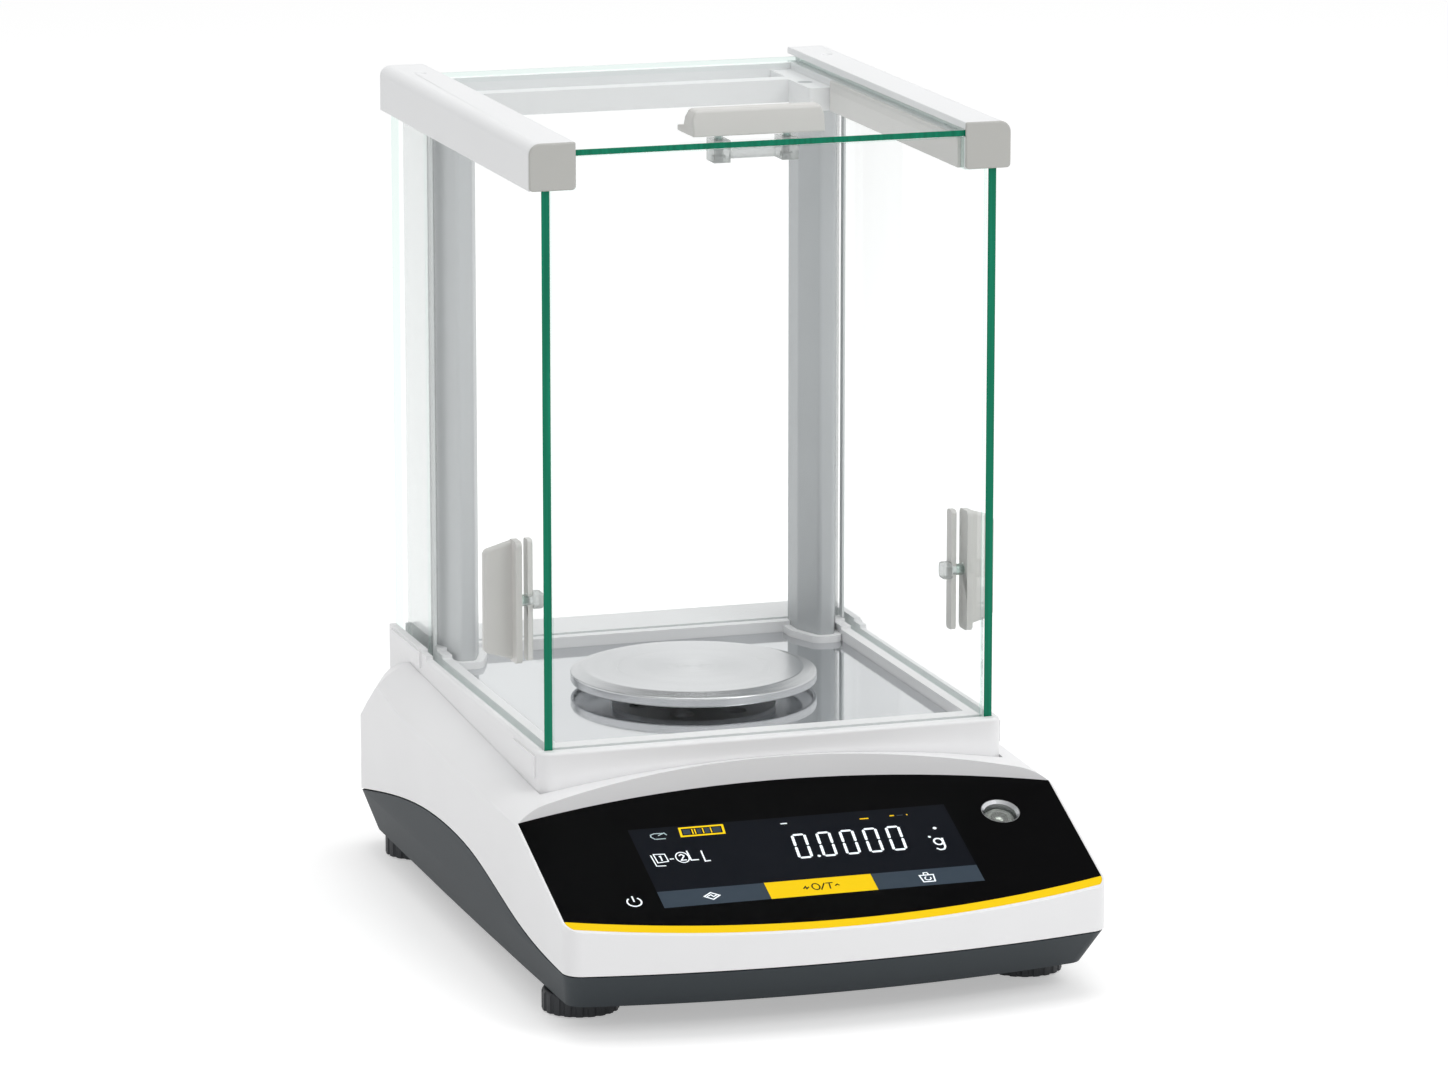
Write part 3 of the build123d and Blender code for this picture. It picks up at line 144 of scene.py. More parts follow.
class Finish:
    """A material under construction, with its Principled shader."""

    def __init__(self, name):
        self.material = bpy.data.materials.new(name)
        self.material.use_nodes = True
        self.tree = self.material.node_tree
        self.skin = self.tree.nodes["Principled BSDF"]
        self.output = self.tree.nodes["Material Output"]

    def add(self, kind, **values):
        """A node, with its sockets and settings given by name."""
        node = self.tree.nodes.new(kind)
        for key, value in values.items():
            if key in node.inputs:
                node.inputs[key].default_value = value
            else:
                setattr(node, key, value)
        return node

    def link(self, source, socket, target, name):
        """Joins two sockets, each given by name or number."""
        self.tree.links.new(source.outputs[socket], target.inputs[name])

    def object_place(self, centre=(0.0, 0.0, 0.0), stretch=(1.0, 1.0, 1.0)):
        """Object coordinates, centred on a point and stretched along the axes."""
        where = self.add("ShaderNodeTexCoord")
        centred = self.add("ShaderNodeMapping")
        centred.inputs["Location"].default_value = [-c * s for c, s in zip(centre, stretch)]
        centred.inputs["Scale"].default_value = stretch
        self.link(where, "Object", centred, "Vector")
        return centred

    def noise(self, place, size, detail=2.0, roughness=0.5):
        """Noise whose features are about the given size in metres."""
        node = self.add("ShaderNodeTexNoise", Scale=1.0 / size, Detail=detail, Roughness=roughness)
        self.link(place, "Vector", node, "Vector")
        return node

    def varied_colour(self, pattern, dark, pale, target="Base Color"):
        """The shader's colour, moving between two tones with a pattern."""
        mix = self.add("ShaderNodeMix", data_type="RGBA")
        mix.inputs["A"].default_value = dark
        mix.inputs["B"].default_value = pale
        self.tree.links.new(pattern, mix.inputs["Factor"])
        self.tree.links.new(mix.outputs["Result"], self.skin.inputs[target])

    def varied_roughness(self, pattern, low, high):
        """The shader's roughness, moving between two values with a pattern."""
        spread = self.add("ShaderNodeMapRange")
        spread.inputs["To Min"].default_value = low
        spread.inputs["To Max"].default_value = high
        self.tree.links.new(pattern, spread.inputs["Value"])
        self.tree.links.new(spread.outputs["Result"], self.skin.inputs["Roughness"])

    def bump(self, pattern, depth, strength=1.0):
        """Relief of the given depth in metres."""
        node = self.add("ShaderNodeBump", Strength=strength, Distance=depth)
        self.tree.links.new(pattern, node.inputs["Height"])
        self.link(node, "Normal", self.skin, "Normal")


def scaled(colour, factor):
    """A colour made darker or paler."""
    return (*[min(1.0, c * factor) for c in colour[:3]], 1.0)


def moulded(name, colour, roughness, grain=0.35 * MM, relief=0.006 * MM, mottle=0.02, specular=0.5):
    """Moulded plastic: fine spark-eroded grain, faint flow marks."""
    finish = Finish(name)
    place = finish.object_place()
    fine = finish.noise(place, grain, detail=3.0)
    broad = finish.noise(place, 38 * MM, detail=1.0)
    finish.varied_colour(broad.outputs["Fac"], scaled(colour, 1 - mottle), scaled(colour, 1 + mottle))
    finish.varied_roughness(fine.outputs["Fac"], roughness - 0.05, roughness + 0.05)
    finish.bump(fine.outputs["Fac"], relief)
    finish.skin.inputs["Specular IOR Level"].default_value = specular
    return finish.material


def printed(name, colour, glow=0.0, roughness=0.35):
    """Ink or a lit mark on the panel, with a faint unevenness."""
    finish = Finish(name)
    broad = finish.noise(finish.object_place(), 2.5 * MM, detail=1.0)
    finish.varied_colour(broad.outputs["Fac"], scaled(colour, 0.97), scaled(colour, 1.03))
    finish.skin.inputs["Roughness"].default_value = roughness
    finish.skin.inputs["Specular IOR Level"].default_value = 0.1
    if glow:
        finish.skin.inputs["Emission Color"].default_value = colour
        finish.skin.inputs["Emission Strength"].default_value = glow
    return finish.material


def panel_gloss(name, colour, roughness, specular):
    """A dark glass or film face with faint fingerprints in its gloss."""
    finish = Finish(name)
    place = finish.object_place()
    smudge = finish.noise(place, 16 * MM, detail=4.0, roughness=0.6)
    finish.varied_colour(smudge.outputs["Fac"], scaled(colour, 0.93), scaled(colour, 1.07))
    finish.varied_roughness(smudge.outputs["Fac"], roughness, roughness + 0.08)
    finish.skin.inputs["Specular IOR Level"].default_value = specular
    return finish.material


def brushed(name, colour, roughness, stretch, grain=0.25 * MM, metal=1.0, relief=0.002 * MM):
    """Metal with fine lines along one way of the piece."""
    finish = Finish(name)
    lines = finish.noise(finish.object_place(stretch=stretch), grain, detail=3.0)
    broad = finish.noise(finish.object_place(), 30 * MM, detail=1.0)
    finish.varied_colour(broad.outputs["Fac"], scaled(colour, 0.97), scaled(colour, 1.03))
    finish.varied_roughness(lines.outputs["Fac"], roughness - 0.06, roughness + 0.06)
    finish.bump(lines.outputs["Fac"], relief)
    finish.skin.inputs["Metallic"].default_value = metal
    return finish.material


def turned(name, colour, centre, roughness=0.24):
    """Steel turned in a lathe: fine rings about an upright axis, stretched highlights."""
    finish = Finish(name)
    place = finish.object_place(centre=(centre[0], centre[1], 0.0), stretch=(1.0, 1.0, 0.0))
    radius = finish.add("ShaderNodeVectorMath", operation="LENGTH")
    finish.link(place, "Vector", radius, "Vector")
    rings = finish.add("ShaderNodeTexNoise", noise_dimensions="1D", Scale=1 / (0.35 * MM), Detail=3.0)
    finish.link(radius, "Value", rings, "W")
    wide = finish.add("ShaderNodeTexNoise", noise_dimensions="1D", Scale=1 / (5.0 * MM), Detail=1.0)
    finish.link(radius, "Value", wide, "W")
    finish.varied_colour(wide.outputs["Fac"], scaled(colour, 0.95), scaled(colour, 1.05))
    finish.varied_roughness(rings.outputs["Fac"], roughness - 0.07, roughness + 0.07)
    finish.bump(rings.outputs["Fac"], 0.002 * MM)
    finish.skin.inputs["Metallic"].default_value = 1.0
    finish.skin.inputs["Anisotropic"].default_value = 0.6
    tangent = finish.add("ShaderNodeTangent", direction_type="RADIAL", axis="Z")
    finish.link(tangent, "Tangent", finish.skin, "Tangent")
    return finish.material


def clear_sheet(name, tint, mirror_share=0.5, veil=0.0, veil_colour=(1.0, 1.0, 1.0, 1.0)):
    """The faces of a pane: light passes straight through, and more of it is mirrored at a flat angle."""
    finish = Finish(name)
    finish.skin.inputs["Base Color"].default_value = (0.96, 0.98, 0.97, 1.0)
    finish.skin.inputs["Metallic"].default_value = 1.0
    wipe = finish.noise(finish.object_place(), 45 * MM, detail=3.0)
    finish.varied_roughness(wipe.outputs["Fac"], 0.0, 0.03)
    through = finish.add("ShaderNodeBsdfTransparent", Color=tint)
    gloss = finish.add("ShaderNodeFresnel", IOR=1.45)
    share = finish.add("ShaderNodeMath", operation="MULTIPLY")
    share.inputs[1].default_value = mirror_share
    finish.link(gloss, "Fac", share, 0)
    pane = finish.add("ShaderNodeMixShader")
    finish.link(share, "Value", pane, "Fac")
    finish.link(through, "BSDF", pane, 1)
    finish.link(finish.skin, "BSDF", pane, 2)
    last = pane
    if veil:
        milk = finish.add("ShaderNodeBsdfPrincipled", Roughness=0.4)
        milk.inputs["Base Color"].default_value = veil_colour
        last = finish.add("ShaderNodeMixShader", Fac=veil)
        finish.link(pane, "Shader", last, 1)
        finish.link(milk, "BSDF", last, 2)
    finish.link(last, "Shader", finish.output, "Surface")
    return finish.material


def glass_edge_with_painted_glow(name, deep, pale):
    """The ground edge of a pane, where the glass shows its green, with a painted glow that keeps it bright
    under any light.
    """
    finish = Finish(name)
    streaks = finish.noise(finish.object_place(stretch=(1.0, 1.0, 0.02)), 1.1 * MM, detail=1.0)
    finish.varied_colour(streaks.outputs["Fac"], deep, pale)
    # Painted glow: the edge gives off a little green light of its own, standing in for lit glass.
    finish.varied_colour(streaks.outputs["Fac"], deep, pale, target="Emission Color")
    finish.skin.inputs["Emission Strength"].default_value = 0.2
    finish.skin.inputs["Specular IOR Level"].default_value = 0.15
    finish.skin.inputs["Roughness"].default_value = 0.25
    return finish.material


PAN_CENTRE = (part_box("weighing_pan")[0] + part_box("weighing_pan")[1]) / 2

WHITE = moulded("white_housing", srgb(243, 243, 244), 0.38)
DARK = moulded("dark_base_plastic", srgb(54, 60, 64), 0.55, relief=0.01 * MM, specular=0.2)
YELLOW = moulded("yellow_strip", srgb(255, 212, 0), 0.4, relief=0.002 * MM, mottle=0.01, specular=0.08)
BLACK_GLASS = panel_gloss("black_panel_glass", srgb(4, 4, 5), 0.3, 0.02)
SCREEN = panel_gloss("display_face", srgb(17, 20, 27), 0.3, 0.03)
SLATE = printed("slate_keys", srgb(54, 66, 78), glow=0.05)
GREY_TRIM = moulded("grey_trim", srgb(188, 188, 184), 0.42)
RAIL_WHITE = moulded("rail_white", srgb(236, 237, 238), 0.36)
TRAY_WHITE = moulded("tray_white", srgb(243, 243, 244), 0.4)
HANDLE = moulded("handle_grey", srgb(212, 211, 208), 0.4)
POST_METAL = brushed("post_anodised", srgb(186, 189, 191), 0.4, (1.0, 1.0, 0.01), metal=0.35)
FLOOR_STEEL = brushed("floor_steel", srgb(205, 207, 210), 0.07, (0.02, 1.0, 1.0), relief=0.0003 * MM)
PAN_STEEL = turned("pan_steel", srgb(208, 209, 211), PAN_CENTRE)
SCREW_STEEL = brushed("screw_steel", srgb(190, 192, 194), 0.3, (1.0, 1.0, 1.0))
BEZEL = brushed("level_bezel_metal", srgb(214, 216, 218), 0.18, (1.0, 1.0, 0.2))
ALUMINIUM = brushed("support_aluminium", srgb(190, 192, 194), 0.4, (0.05, 1.0, 1.0))
MAGNET = brushed("magnet_steel", srgb(120, 122, 126), 0.35, (1.0, 1.0, 0.05))
COPPER = brushed("coil_copper", srgb(200, 118, 70), 0.3, (1.0, 1.0, 20.0))
BRASS = brushed("bush_brass", srgb(200, 170, 95), 0.3, (1.0, 1.0, 8.0))
BOARD = moulded("circuit_board", srgb(22, 92, 58), 0.4, mottle=0.15)
RIBBON = moulded("ribbon_cable", srgb(196, 197, 196), 0.5)
SOCKET = moulded("socket_black", srgb(28, 28, 30), 0.45)
MODULE = moulded("display_body", srgb(52, 54, 58), 0.5)
FOOT = moulded("foot_dark", srgb(30, 34, 39), 0.5, relief=0.012 * MM)
RUBBER = moulded("foot_rubber", srgb(20, 22, 24), 0.75, relief=0.02 * MM)
SEAL = moulded("seal_soft", srgb(225, 228, 228), 0.6)
CLAMP = clear_sheet("clamp_clear", (0.93, 0.94, 0.94, 1.0), 0.8, veil=0.35, veil_colour=srgb(205, 207, 206))
PANE = clear_sheet("pane_faces", (0.996, 0.999, 0.998, 1.0), 0.12)
# The green pane edges carry a painted glow.
PANE_EDGE_PAINTED_GLOW = glass_edge_with_painted_glow("pane_edges_painted_glow", srgb(0, 88, 64), srgb(8, 130, 98))
PALE_EDGE = clear_sheet("pane_hidden_edges", (0.84, 0.93, 0.90, 1.0), 0.5)
GUIDE = clear_sheet("guide_pane", (0.98, 0.98, 0.98, 1.0), 0.3, veil=0.2, veil_colour=srgb(218, 220, 222))
VIAL = clear_sheet("vial_liquid", (0.93, 0.96, 0.9, 1.0), 1.0, veil=0.25, veil_colour=srgb(205, 208, 205))
LIT_WHITE = printed("lit_white", srgb(238, 244, 248), glow=0.35)
LIT_CYAN = printed("lit_pale_blue", srgb(176, 196, 200), glow=0.25)
LIT_YELLOW = printed("lit_yellow", srgb(246, 205, 0), glow=0.3)
INK_BLACK = printed("ink_black", srgb(30, 26, 8))

SLOT_MATERIALS = {
    "white_shell": WHITE, "dark_base": DARK, "yellow": YELLOW, "black_glass": BLACK_GLASS, "screen": SCREEN,
    "slate_key": SLATE, "module_body": MODULE, "bezel_metal": BEZEL, "vial": VIAL, "brass": BRASS,
    "screw_steel": SCREW_STEEL, "tray_white": TRAY_WHITE, "floor_steel": FLOOR_STEEL,
    "rail_white": RAIL_WHITE, "cap_grey": GREY_TRIM, "post_aluminium": POST_METAL, "glass": PANE,
    "guide_glass": GUIDE, "seal": SEAL,
    "handle_grey": HANDLE, "clamp_clear": CLAMP, "pan_steel": PAN_STEEL, "support_aluminium": ALUMINIUM,
    "magnet_steel": MAGNET, "copper": COPPER, "circuit_board": BOARD, "ribbon": RIBBON,
    "socket_black": SOCKET, "foot_dark": FOOT, "pad_rubber": RUBBER,
}


# Pieces made from the CAD nodes


def slot_of(node):
    """The record's material slot of a CAD node."""
    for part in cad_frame["record"]["subparts"]:
        if part["node"] == node:
            return part["material_slot"]
    return None


def link_piece(name, mesh, materials):
    """A new object of the scene, with its materials."""
    piece = bpy.data.objects.new(name, mesh)
    bpy.context.scene.collection.objects.link(piece)
    mesh.materials.clear()
    for material in materials:
        mesh.materials.append(material)
    return piece


def joined_mesh(node, name):
    """A copy of a CAD node's mesh with its loose triangles joined into whole faces."""
    form = bmesh.new()
    form.from_mesh(NODES[node].data)
    bmesh.ops.remove_doubles(form, verts=form.verts, dist=MERGE_GAP)
    bmesh.ops.dissolve_limit(form, angle_limit=FLAT_ANGLE, verts=form.verts, edges=form.edges)
    bmesh.ops.connect_verts_concave(form, faces=form.faces)
    mesh = bpy.data.meshes.new(name)
    form.to_mesh(mesh)
    form.free()
    for layer in [a.name for a in mesh.attributes if a.name == "custom_normal"]:
        mesh.attributes.remove(mesh.attributes[layer])
    return mesh


def smooth_by_angle(mesh, angle=SHARP_ANGLE):
    """Smooth shading everywhere except over sharp edges."""
    form = bmesh.new()
    form.from_mesh(mesh)
    for face in form.faces:
        face.smooth = True
    for edge in form.edges:
        edge.smooth = len(edge.link_faces) == 2 and edge.calc_face_angle(0.0) < angle
    form.to_mesh(mesh)
    form.free()


def evaluated(piece):
    """The piece's mesh with its modifiers applied, and the modifiers gone."""
    view = bpy.context.evaluated_depsgraph_get()
    mesh = bpy.data.meshes.new_from_object(piece.evaluated_get(view))
    mesh.name = piece.name
    piece.modifiers.clear()
    piece.data = mesh


def dressed(node, material=None, radius=0.4 * MM, segments=2, edge_angle=30, extra=()):
    """The visible form of a CAD node: its edges broken by a small radius, its curved faces smooth."""
    name = node + "_finished"
    slot = slot_of(node)
    piece = link_piece(name, joined_mesh(node, name), [material or SLOT_MATERIALS[slot], *extra])
    rounding = piece.modifiers.new("edge_radius", "BEVEL")
    rounding.width = radius
    rounding.segments = segments
    rounding.limit_method = "ANGLE"
    rounding.angle_limit = math.radians(edge_angle)
    rounding.use_clamp_overlap = True
    flats = piece.modifiers.new("flat_faces_stay_flat", "WEIGHTED_NORMAL")
    flats.keep_sharp = True
    smooth_by_angle(piece.data)
    evaluated(piece)
    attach(piece, BODY_OF[node])
    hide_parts(node)
    return piece


def mark_edges(piece, thin_axis, green_front):
    """Clear faces, a green edge with a painted glow at the front, paler edges elsewhere."""
    front = min(v.co.y for v in piece.data.vertices) + FRONT_EDGE
    for face in piece.data.polygons:
        if abs(face.normal[thin_axis]) > FACE_ON:
            face.material_index = 0
        elif green_front and face.center.y < front:
            face.material_index = 1
        else:
            face.material_index = 2


def pane(node, thin_axis, green_front=True):
    """A glass pane with its ground edges."""
    piece = dressed(node, PANE, radius=PANE_RADIUS * MM, segments=1, extra=(PANE_EDGE_PAINTED_GLOW, PALE_EDGE))
    mark_edges(piece, thin_axis, green_front)


# Marks on the panel, drawn in millimetres from the screen's upper left corner: across, then down its slope


def panel_place():
    """The matrix that carries the drawing of the screen to its place on the panel."""
    low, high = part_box("display_screen")
    corner = Vector((low.x, high.y - PANEL_GLASS_T * math.sin(PANEL_TILT), high.z))
    across = Vector((1, 0, 0))
    up = Vector((0, math.cos(PANEL_TILT), math.sin(PANEL_TILT)))
    out = across.cross(up)
    turn = Matrix((across, up, out)).transposed().to_4x4()
    return Matrix.Translation(corner + out * PRINT_LIFT) @ turn @ Matrix.Scale(MM, 4)


PANEL_PLACE = panel_place()


def stroke_outline(points, width, closed):
    """The two sides of a line of the given width, mitred at its corners."""
    left, right = [], []
    count = len(points)
    for i, point in enumerate(points):
        here = Vector(point)
        before = Vector(points[i - 1]) if closed or i else None
        after = Vector(points[(i + 1) % count]) if closed or i < count - 1 else None
        first = (here - before).normalized() if before else (after - here).normalized()
        second = (after - here).normalized() if after else first
        mean = (first + second).normalized()
        normal = Vector((-mean.y, mean.x))
        reach = width / 2 / max(0.35, normal.dot(Vector((-first.y, first.x))))
        left.append(here + normal * reach)
        right.append(here - normal * reach)
    return left, right


def row_tree():
    """Geometry nodes that repeat a mesh in a straight row, and the identifiers of their inputs by name."""
    tree = bpy.data.node_groups.new("repeated_row", "GeometryNodeTree")
    kinds = {"Form": "NodeSocketGeometry", "Count": "NodeSocketInt", "Step": "NodeSocketVector",
             "Finish": "NodeSocketMaterial"}
    names = {}
    for name, kind in kinds.items():
        names[name] = tree.interface.new_socket(name, in_out="INPUT", socket_type=kind).identifier
    tree.interface.new_socket("Row", in_out="OUTPUT", socket_type="NodeSocketGeometry")
    given = tree.nodes.new("NodeGroupInput")
    places = tree.nodes.new("GeometryNodeMeshLine")
    copies = tree.nodes.new("GeometryNodeInstanceOnPoints")
    solid = tree.nodes.new("GeometryNodeRealizeInstances")
    coated = tree.nodes.new("GeometryNodeSetMaterial")
    result = tree.nodes.new("NodeGroupOutput")
    for start, end in (
        (given.outputs["Count"], places.inputs["Count"]), (given.outputs["Step"], places.inputs["Offset"]),
        (places.outputs["Mesh"], copies.inputs["Points"]), (given.outputs["Form"], copies.inputs["Instance"]),
        (copies.outputs["Instances"], solid.inputs["Geometry"]),
        (solid.outputs["Geometry"], coated.inputs["Geometry"]),
        (given.outputs["Finish"], coated.inputs["Material"]),
        (coated.outputs["Geometry"], result.inputs["Row"]),
    ):
        tree.links.new(start, end)
    return tree, names


ROW_TREE, ROW_INPUTS = row_tree()


def repeated(piece, count, step, material):
    """The piece as a row of equal copies of its mesh."""
    row = piece.modifiers.new("row", "NODES")
    row.node_group = ROW_TREE
    row[ROW_INPUTS["Count"]] = count
    row[ROW_INPUTS["Step"]] = tuple(step)
    row[ROW_INPUTS["Finish"]] = material
    evaluated(piece)


class Drawing:
    """Flat marks of one material, as thin closed plates on the panel."""

    def __init__(self):
        self.form = bmesh.new()

    def polygon(self, corners):
        """A filled outline."""
        depth = PRINT_DEPTH / MM
        top = [self.form.verts.new((x, -y, 0.0)) for x, y in corners]
        low = [self.form.verts.new((x, -y, -depth)) for x, y in corners]
        count = len(corners)
        self.form.faces.new(top)
        self.form.faces.new(low[::-1])
        for i in range(count):
            j = (i + 1) % count
            self.form.faces.new((top[j], top[i], low[i], low[j]))

    def line(self, points, width, closed=False):
        """A line of even width."""
        left, right = stroke_outline(points, width, closed)
        count = len(points)
        for i in range(count if closed else count - 1):
            j = (i + 1) % count
            self.polygon([left[i], left[j], right[j], right[i]])

    def ring(self, x, y, rx, ry, width, start=0.0, sweep=360.0, steps=28):
        """A round line, whole or part."""
        whole = sweep >= 360
        angles = [math.radians(start + sweep * i / steps) for i in range(steps if whole else steps + 1)]
        self.line([(x + rx * math.sin(a), y - ry * math.cos(a)) for a in angles], width, closed=whole)

    def dot(self, x, y, radius, steps=16):
        """A filled disc."""
        angles = [math.tau * i / steps for i in range(steps)]
        self.polygon([(x + radius * math.cos(a), y + radius * math.sin(a)) for a in angles])

    def finish(self, name, material, slot, place=None, count=1, pitch=0.0):
        """The drawing as a piece on the housing, alone or as a row along the screen."""
        bmesh.ops.recalc_face_normals(self.form, faces=self.form.faces)
        self.form.transform(place or PANEL_PLACE)
        mesh = bpy.data.meshes.new(name)
        self.form.to_mesh(mesh)
        self.form.free()
        piece = link_piece(name, mesh, [material])
        if count > 1:
            repeated(piece, count, PANEL_PLACE.to_3x3() @ Vector((pitch, 0.0, 0.0)), material)
        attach(piece, "housing")


def leaned(x, y):
    """A point of a digit, moved by the digits' lean."""
    return (x + DIGIT_LEAN * (1 - y / DIGIT_H), y)


def bar(x0, y0, x1, y1):
    """One segment of a digit: a bar with pointed ends."""
    half = SEGMENT_W / 2
    along = (Vector((x1, y1)) - Vector((x0, y0))).normalized()
    side = Vector((-along.y, along.x)) * half
    start = Vector((x0, y0)) + along * SEGMENT_GAP
    end = Vector((x1, y1)) - along * SEGMENT_GAP
    corners = [start, start + along * half + side, end - along * half + side, end,
               end - along * half - side, start + along * half - side]
    return [leaned(*c) for c in corners]


def zero_segments():
    """The six lit segments of a zero."""
    half = SEGMENT_W / 2
    right = DIGIT_W - half
    low = DIGIT_H - half
    middle = DIGIT_H / 2
    return [bar(half, half, right, half), bar(right, half, right, middle), bar(right, middle, right, low),
            bar(half, low, right, low), bar(half, middle, half, low), bar(half, half, half, middle)]


def zero_drawing(left):
    """A drawing of one zero with its left side at the given place across the screen."""
    drawing = Drawing()
    for corners in zero_segments():
        drawing.polygon([(x + left - DIGIT_LEAN, y + DIGIT_AT[1]) for x, y in corners])
    return drawing


def reading():
    """The lit figures 0.0000: the whole gram and its point, then the row of decimals."""
    whole = zero_drawing(DIGIT_AT[0])
    whole.dot(DIGIT_AT[0] + DIGIT_PITCH - POINT_BACK, DIGIT_AT[1] + DIGIT_H - POINT_UP, POINT_R)
    whole.finish("whole_figure", LIT_WHITE, "screen")
    decimals = zero_drawing(DIGIT_AT[0] + DIGIT_PITCH + POINT_ROOM)
    decimals.finish("decimal_figures", LIT_WHITE, "screen", count=DECIMALS, pitch=DIGIT_PITCH)


def unit_marks():
    """The unit g and the two stability dots."""
    drawing = Drawing()
    drawing.ring(107.5, 21.4, 1.55, 1.8, BOLD)
    drawing.line([(109.4, 19.5), (109.0, 24.6), (108.2, 26.0), (106.8, 26.2), (105.6, 25.2)], BOLD)
    drawing.dot(108.7, 13.5, 0.7)
    drawing.dot(105.2, 18.3, 0.55)
    drawing.finish("unit_marks", LIT_WHITE, "screen")


def status_marks():
    """The small pale sign at the upper left of the screen."""
    drawing = Drawing()
    drawing.line([(8.2, 6.7), (7.0, 5.1), (7.2, 3.9), (8.6, 3.3), (11.6, 3.4)], FINE)
    drawing.line([(8.4, 6.6), (12.0, 6.6)], FINE)
    drawing.line([(9.8, 4.6), (12.2, 3.3), (12.9, 4.6)], FINE)
    drawing.finish("status_marks", LIT_CYAN, "screen")


def range_marks():
    """The row of signs below: two framed numbers, a dash and two corners."""
    drawing = Drawing()
    drawing.line([(4.9, 15.2), (8.9, 15.5), (9.1, 19.8), (5.2, 20.2)], THIN, closed=True)
    drawing.line([(3.8, 15.6), (4.2, 22.0), (7.6, 22.2)], THIN)
    drawing.line([(6.5, 16.8), (7.1, 16.5), (7.0, 19.2)], MEDIUM)
    drawing.line([(9.9, 18.6), (11.4, 18.6)], MEDIUM)
    drawing.ring(14.6, 18.2, 2.3, 3.0, THIN)
    drawing.line([(13.6, 17.2), (14.6, 16.4), (15.4, 17.4), (13.8, 19.8), (15.8, 19.8)], MEDIUM)
    drawing.line([(17.1, 14.6), (17.3, 20.2), (20.0, 20.2)], STRONG)
    drawing.line([(22.2, 15.2), (22.0, 21.4), (24.0, 21.3)], STRONG)
    drawing.finish("range_marks", LIT_WHITE, "screen")


def load_bar():
    """The yellow frame of the load bar with its divisions, and the three yellow dashes at the right."""
    drawing = Drawing()
    x0, x1, y0, y1 = 18.4, 34.0, 1.4, 6.2
    drawing.line([(x0, y0), (x1, y0), (x1 - 0.5, y1), (x0 - 0.5, y1)], 0.8, closed=True)
    for x in (22.6, 23.6, 26.5, 29.4):
        drawing.line([(x, y0 + 0.9), (x - 0.2, y1 - 0.9)], FINE)
    for x0, x1, y in ((83.8, 87.0, 4.6), (95.0, 96.6, 4.2), (101.1, 101.6, 4.3)):
        drawing.line([(x0, y), (x1, y)], STRONG)
    drawing.finish("load_bar", LIT_YELLOW, "yellow")


def load_bar_cells():
    """The slate cells inside the load bar, and the slate dash between the yellow ones."""
    drawing = Drawing()
    for x0, x1 in ((19.2, 21.9), (24.3, 25.9), (27.1, 28.9), (30.0, 33.0)):
        drawing.polygon([(x0, 2.3), (x1, 2.3), (x1 - 0.3, 5.3), (x0 - 0.3, 5.3)])
    drawing.line([(97.6, 4.3), (99.9, 4.3)], 0.35)
    drawing.finish("load_bar_cells", SLATE, "slate_key")


def key_signs():
    """The pale signs on the slate keys, the dash over the figures and the power sign."""
    drawing = Drawing()
    drawing.line([(15.6, 41.4), (18.4, 39.5), (21.2, 41.4), (18.4, 43.4)], MEDIUM, closed=True)
    drawing.line([(16.6, 41.6), (18.2, 40.7), (18.8, 41.9), (20.3, 41.0)], 0.45)
    drawing.line([(94.3, 40.0), (99.4, 40.0), (99.0, 43.8), (94.8, 43.8)], MEDIUM, closed=True)
    drawing.line([(95.9, 39.9), (96.2, 38.6), (97.5, 38.6), (97.8, 39.9)], 0.45)
    drawing.ring(96.9, 41.9, 1.1, 1.0, FINE, start=60, sweep=280, steps=14)
    drawing.line([(54.8, 3.6), (57.2, 3.6)], 0.6)
    drawing.ring(-9.4, 41.1, 2.5, 2.5, STRONG, start=38, sweep=284, steps=24)
    drawing.line([(-9.4, 37.8), (-9.4, 41.0)], STRONG)
    drawing.finish("key_signs", LIT_WHITE, "screen")


def tare_sign():
    """The black O/T sign with its arrows on the yellow key."""
    drawing = Drawing()
    drawing.line([(51.4, 41.9), (52.4, 40.7), (52.6, 42.0), (53.6, 41.0)], MEDIUM)
    drawing.ring(56.1, 41.2, 1.35, 1.75, MEDIUM)
    drawing.line([(57.6, 43.2), (59.6, 39.5)], MEDIUM)
    drawing.line([(60.0, 39.7), (62.6, 39.7)], MEDIUM)
    drawing.line([(61.3, 39.7), (60.9, 43.1)], MEDIUM)
    drawing.line([(63.0, 41.6), (64.0, 40.8), (64.6, 41.6)], MEDIUM)
    drawing.finish("tare_sign", INK_BLACK, "yellow")


def key_divisions():
    """Thin dark lines between the touch fields."""
    drawing = Drawing()
    for x in (38.5, 77.5):
        drawing.line([(x, 36.6), (x, 46.0)], 0.12)
    drawing.finish("key_divisions", INK_BLACK, "screen")


# The spirit level


def level_place():
    """The matrix of the spirit level's axis, its origin on the vial's face."""
    low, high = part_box("level_vial")
    out = PANEL_PLACE.to_3x3().col[2].normalized()
    centre = (low + high) / 2
    turn = PANEL_PLACE.to_3x3().normalized().to_4x4()
    return Matrix.Translation(centre + out * LEVEL_FACE * MM) @ turn @ Matrix.Scale(MM, 4)


def level_marks():
    """The black ring of the level and its bubble."""
    ring = Drawing()
    ring.ring(0, 0, LEVEL_RING_R, LEVEL_RING_R, LEVEL_RING_W)
    ring.finish("level_ring", INK_BLACK, "vial", level_place())
    bubble = bmesh.new()
    bmesh.ops.create_uvsphere(bubble, u_segments=24, v_segments=12, radius=BUBBLE_R)
    bmesh.ops.scale(bubble, vec=(1, 1, BUBBLE_FLATNESS), verts=bubble.verts)
    bubble.transform(level_place() @ Matrix.Translation(BUBBLE_AT))
    mesh = bpy.data.meshes.new("level_bubble")
    bubble.to_mesh(mesh)
    bubble.free()
    piece = link_piece("level_bubble", mesh, [BEZEL])
    smooth_by_angle(mesh)
    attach(piece, "housing")


# Camera, light and floor


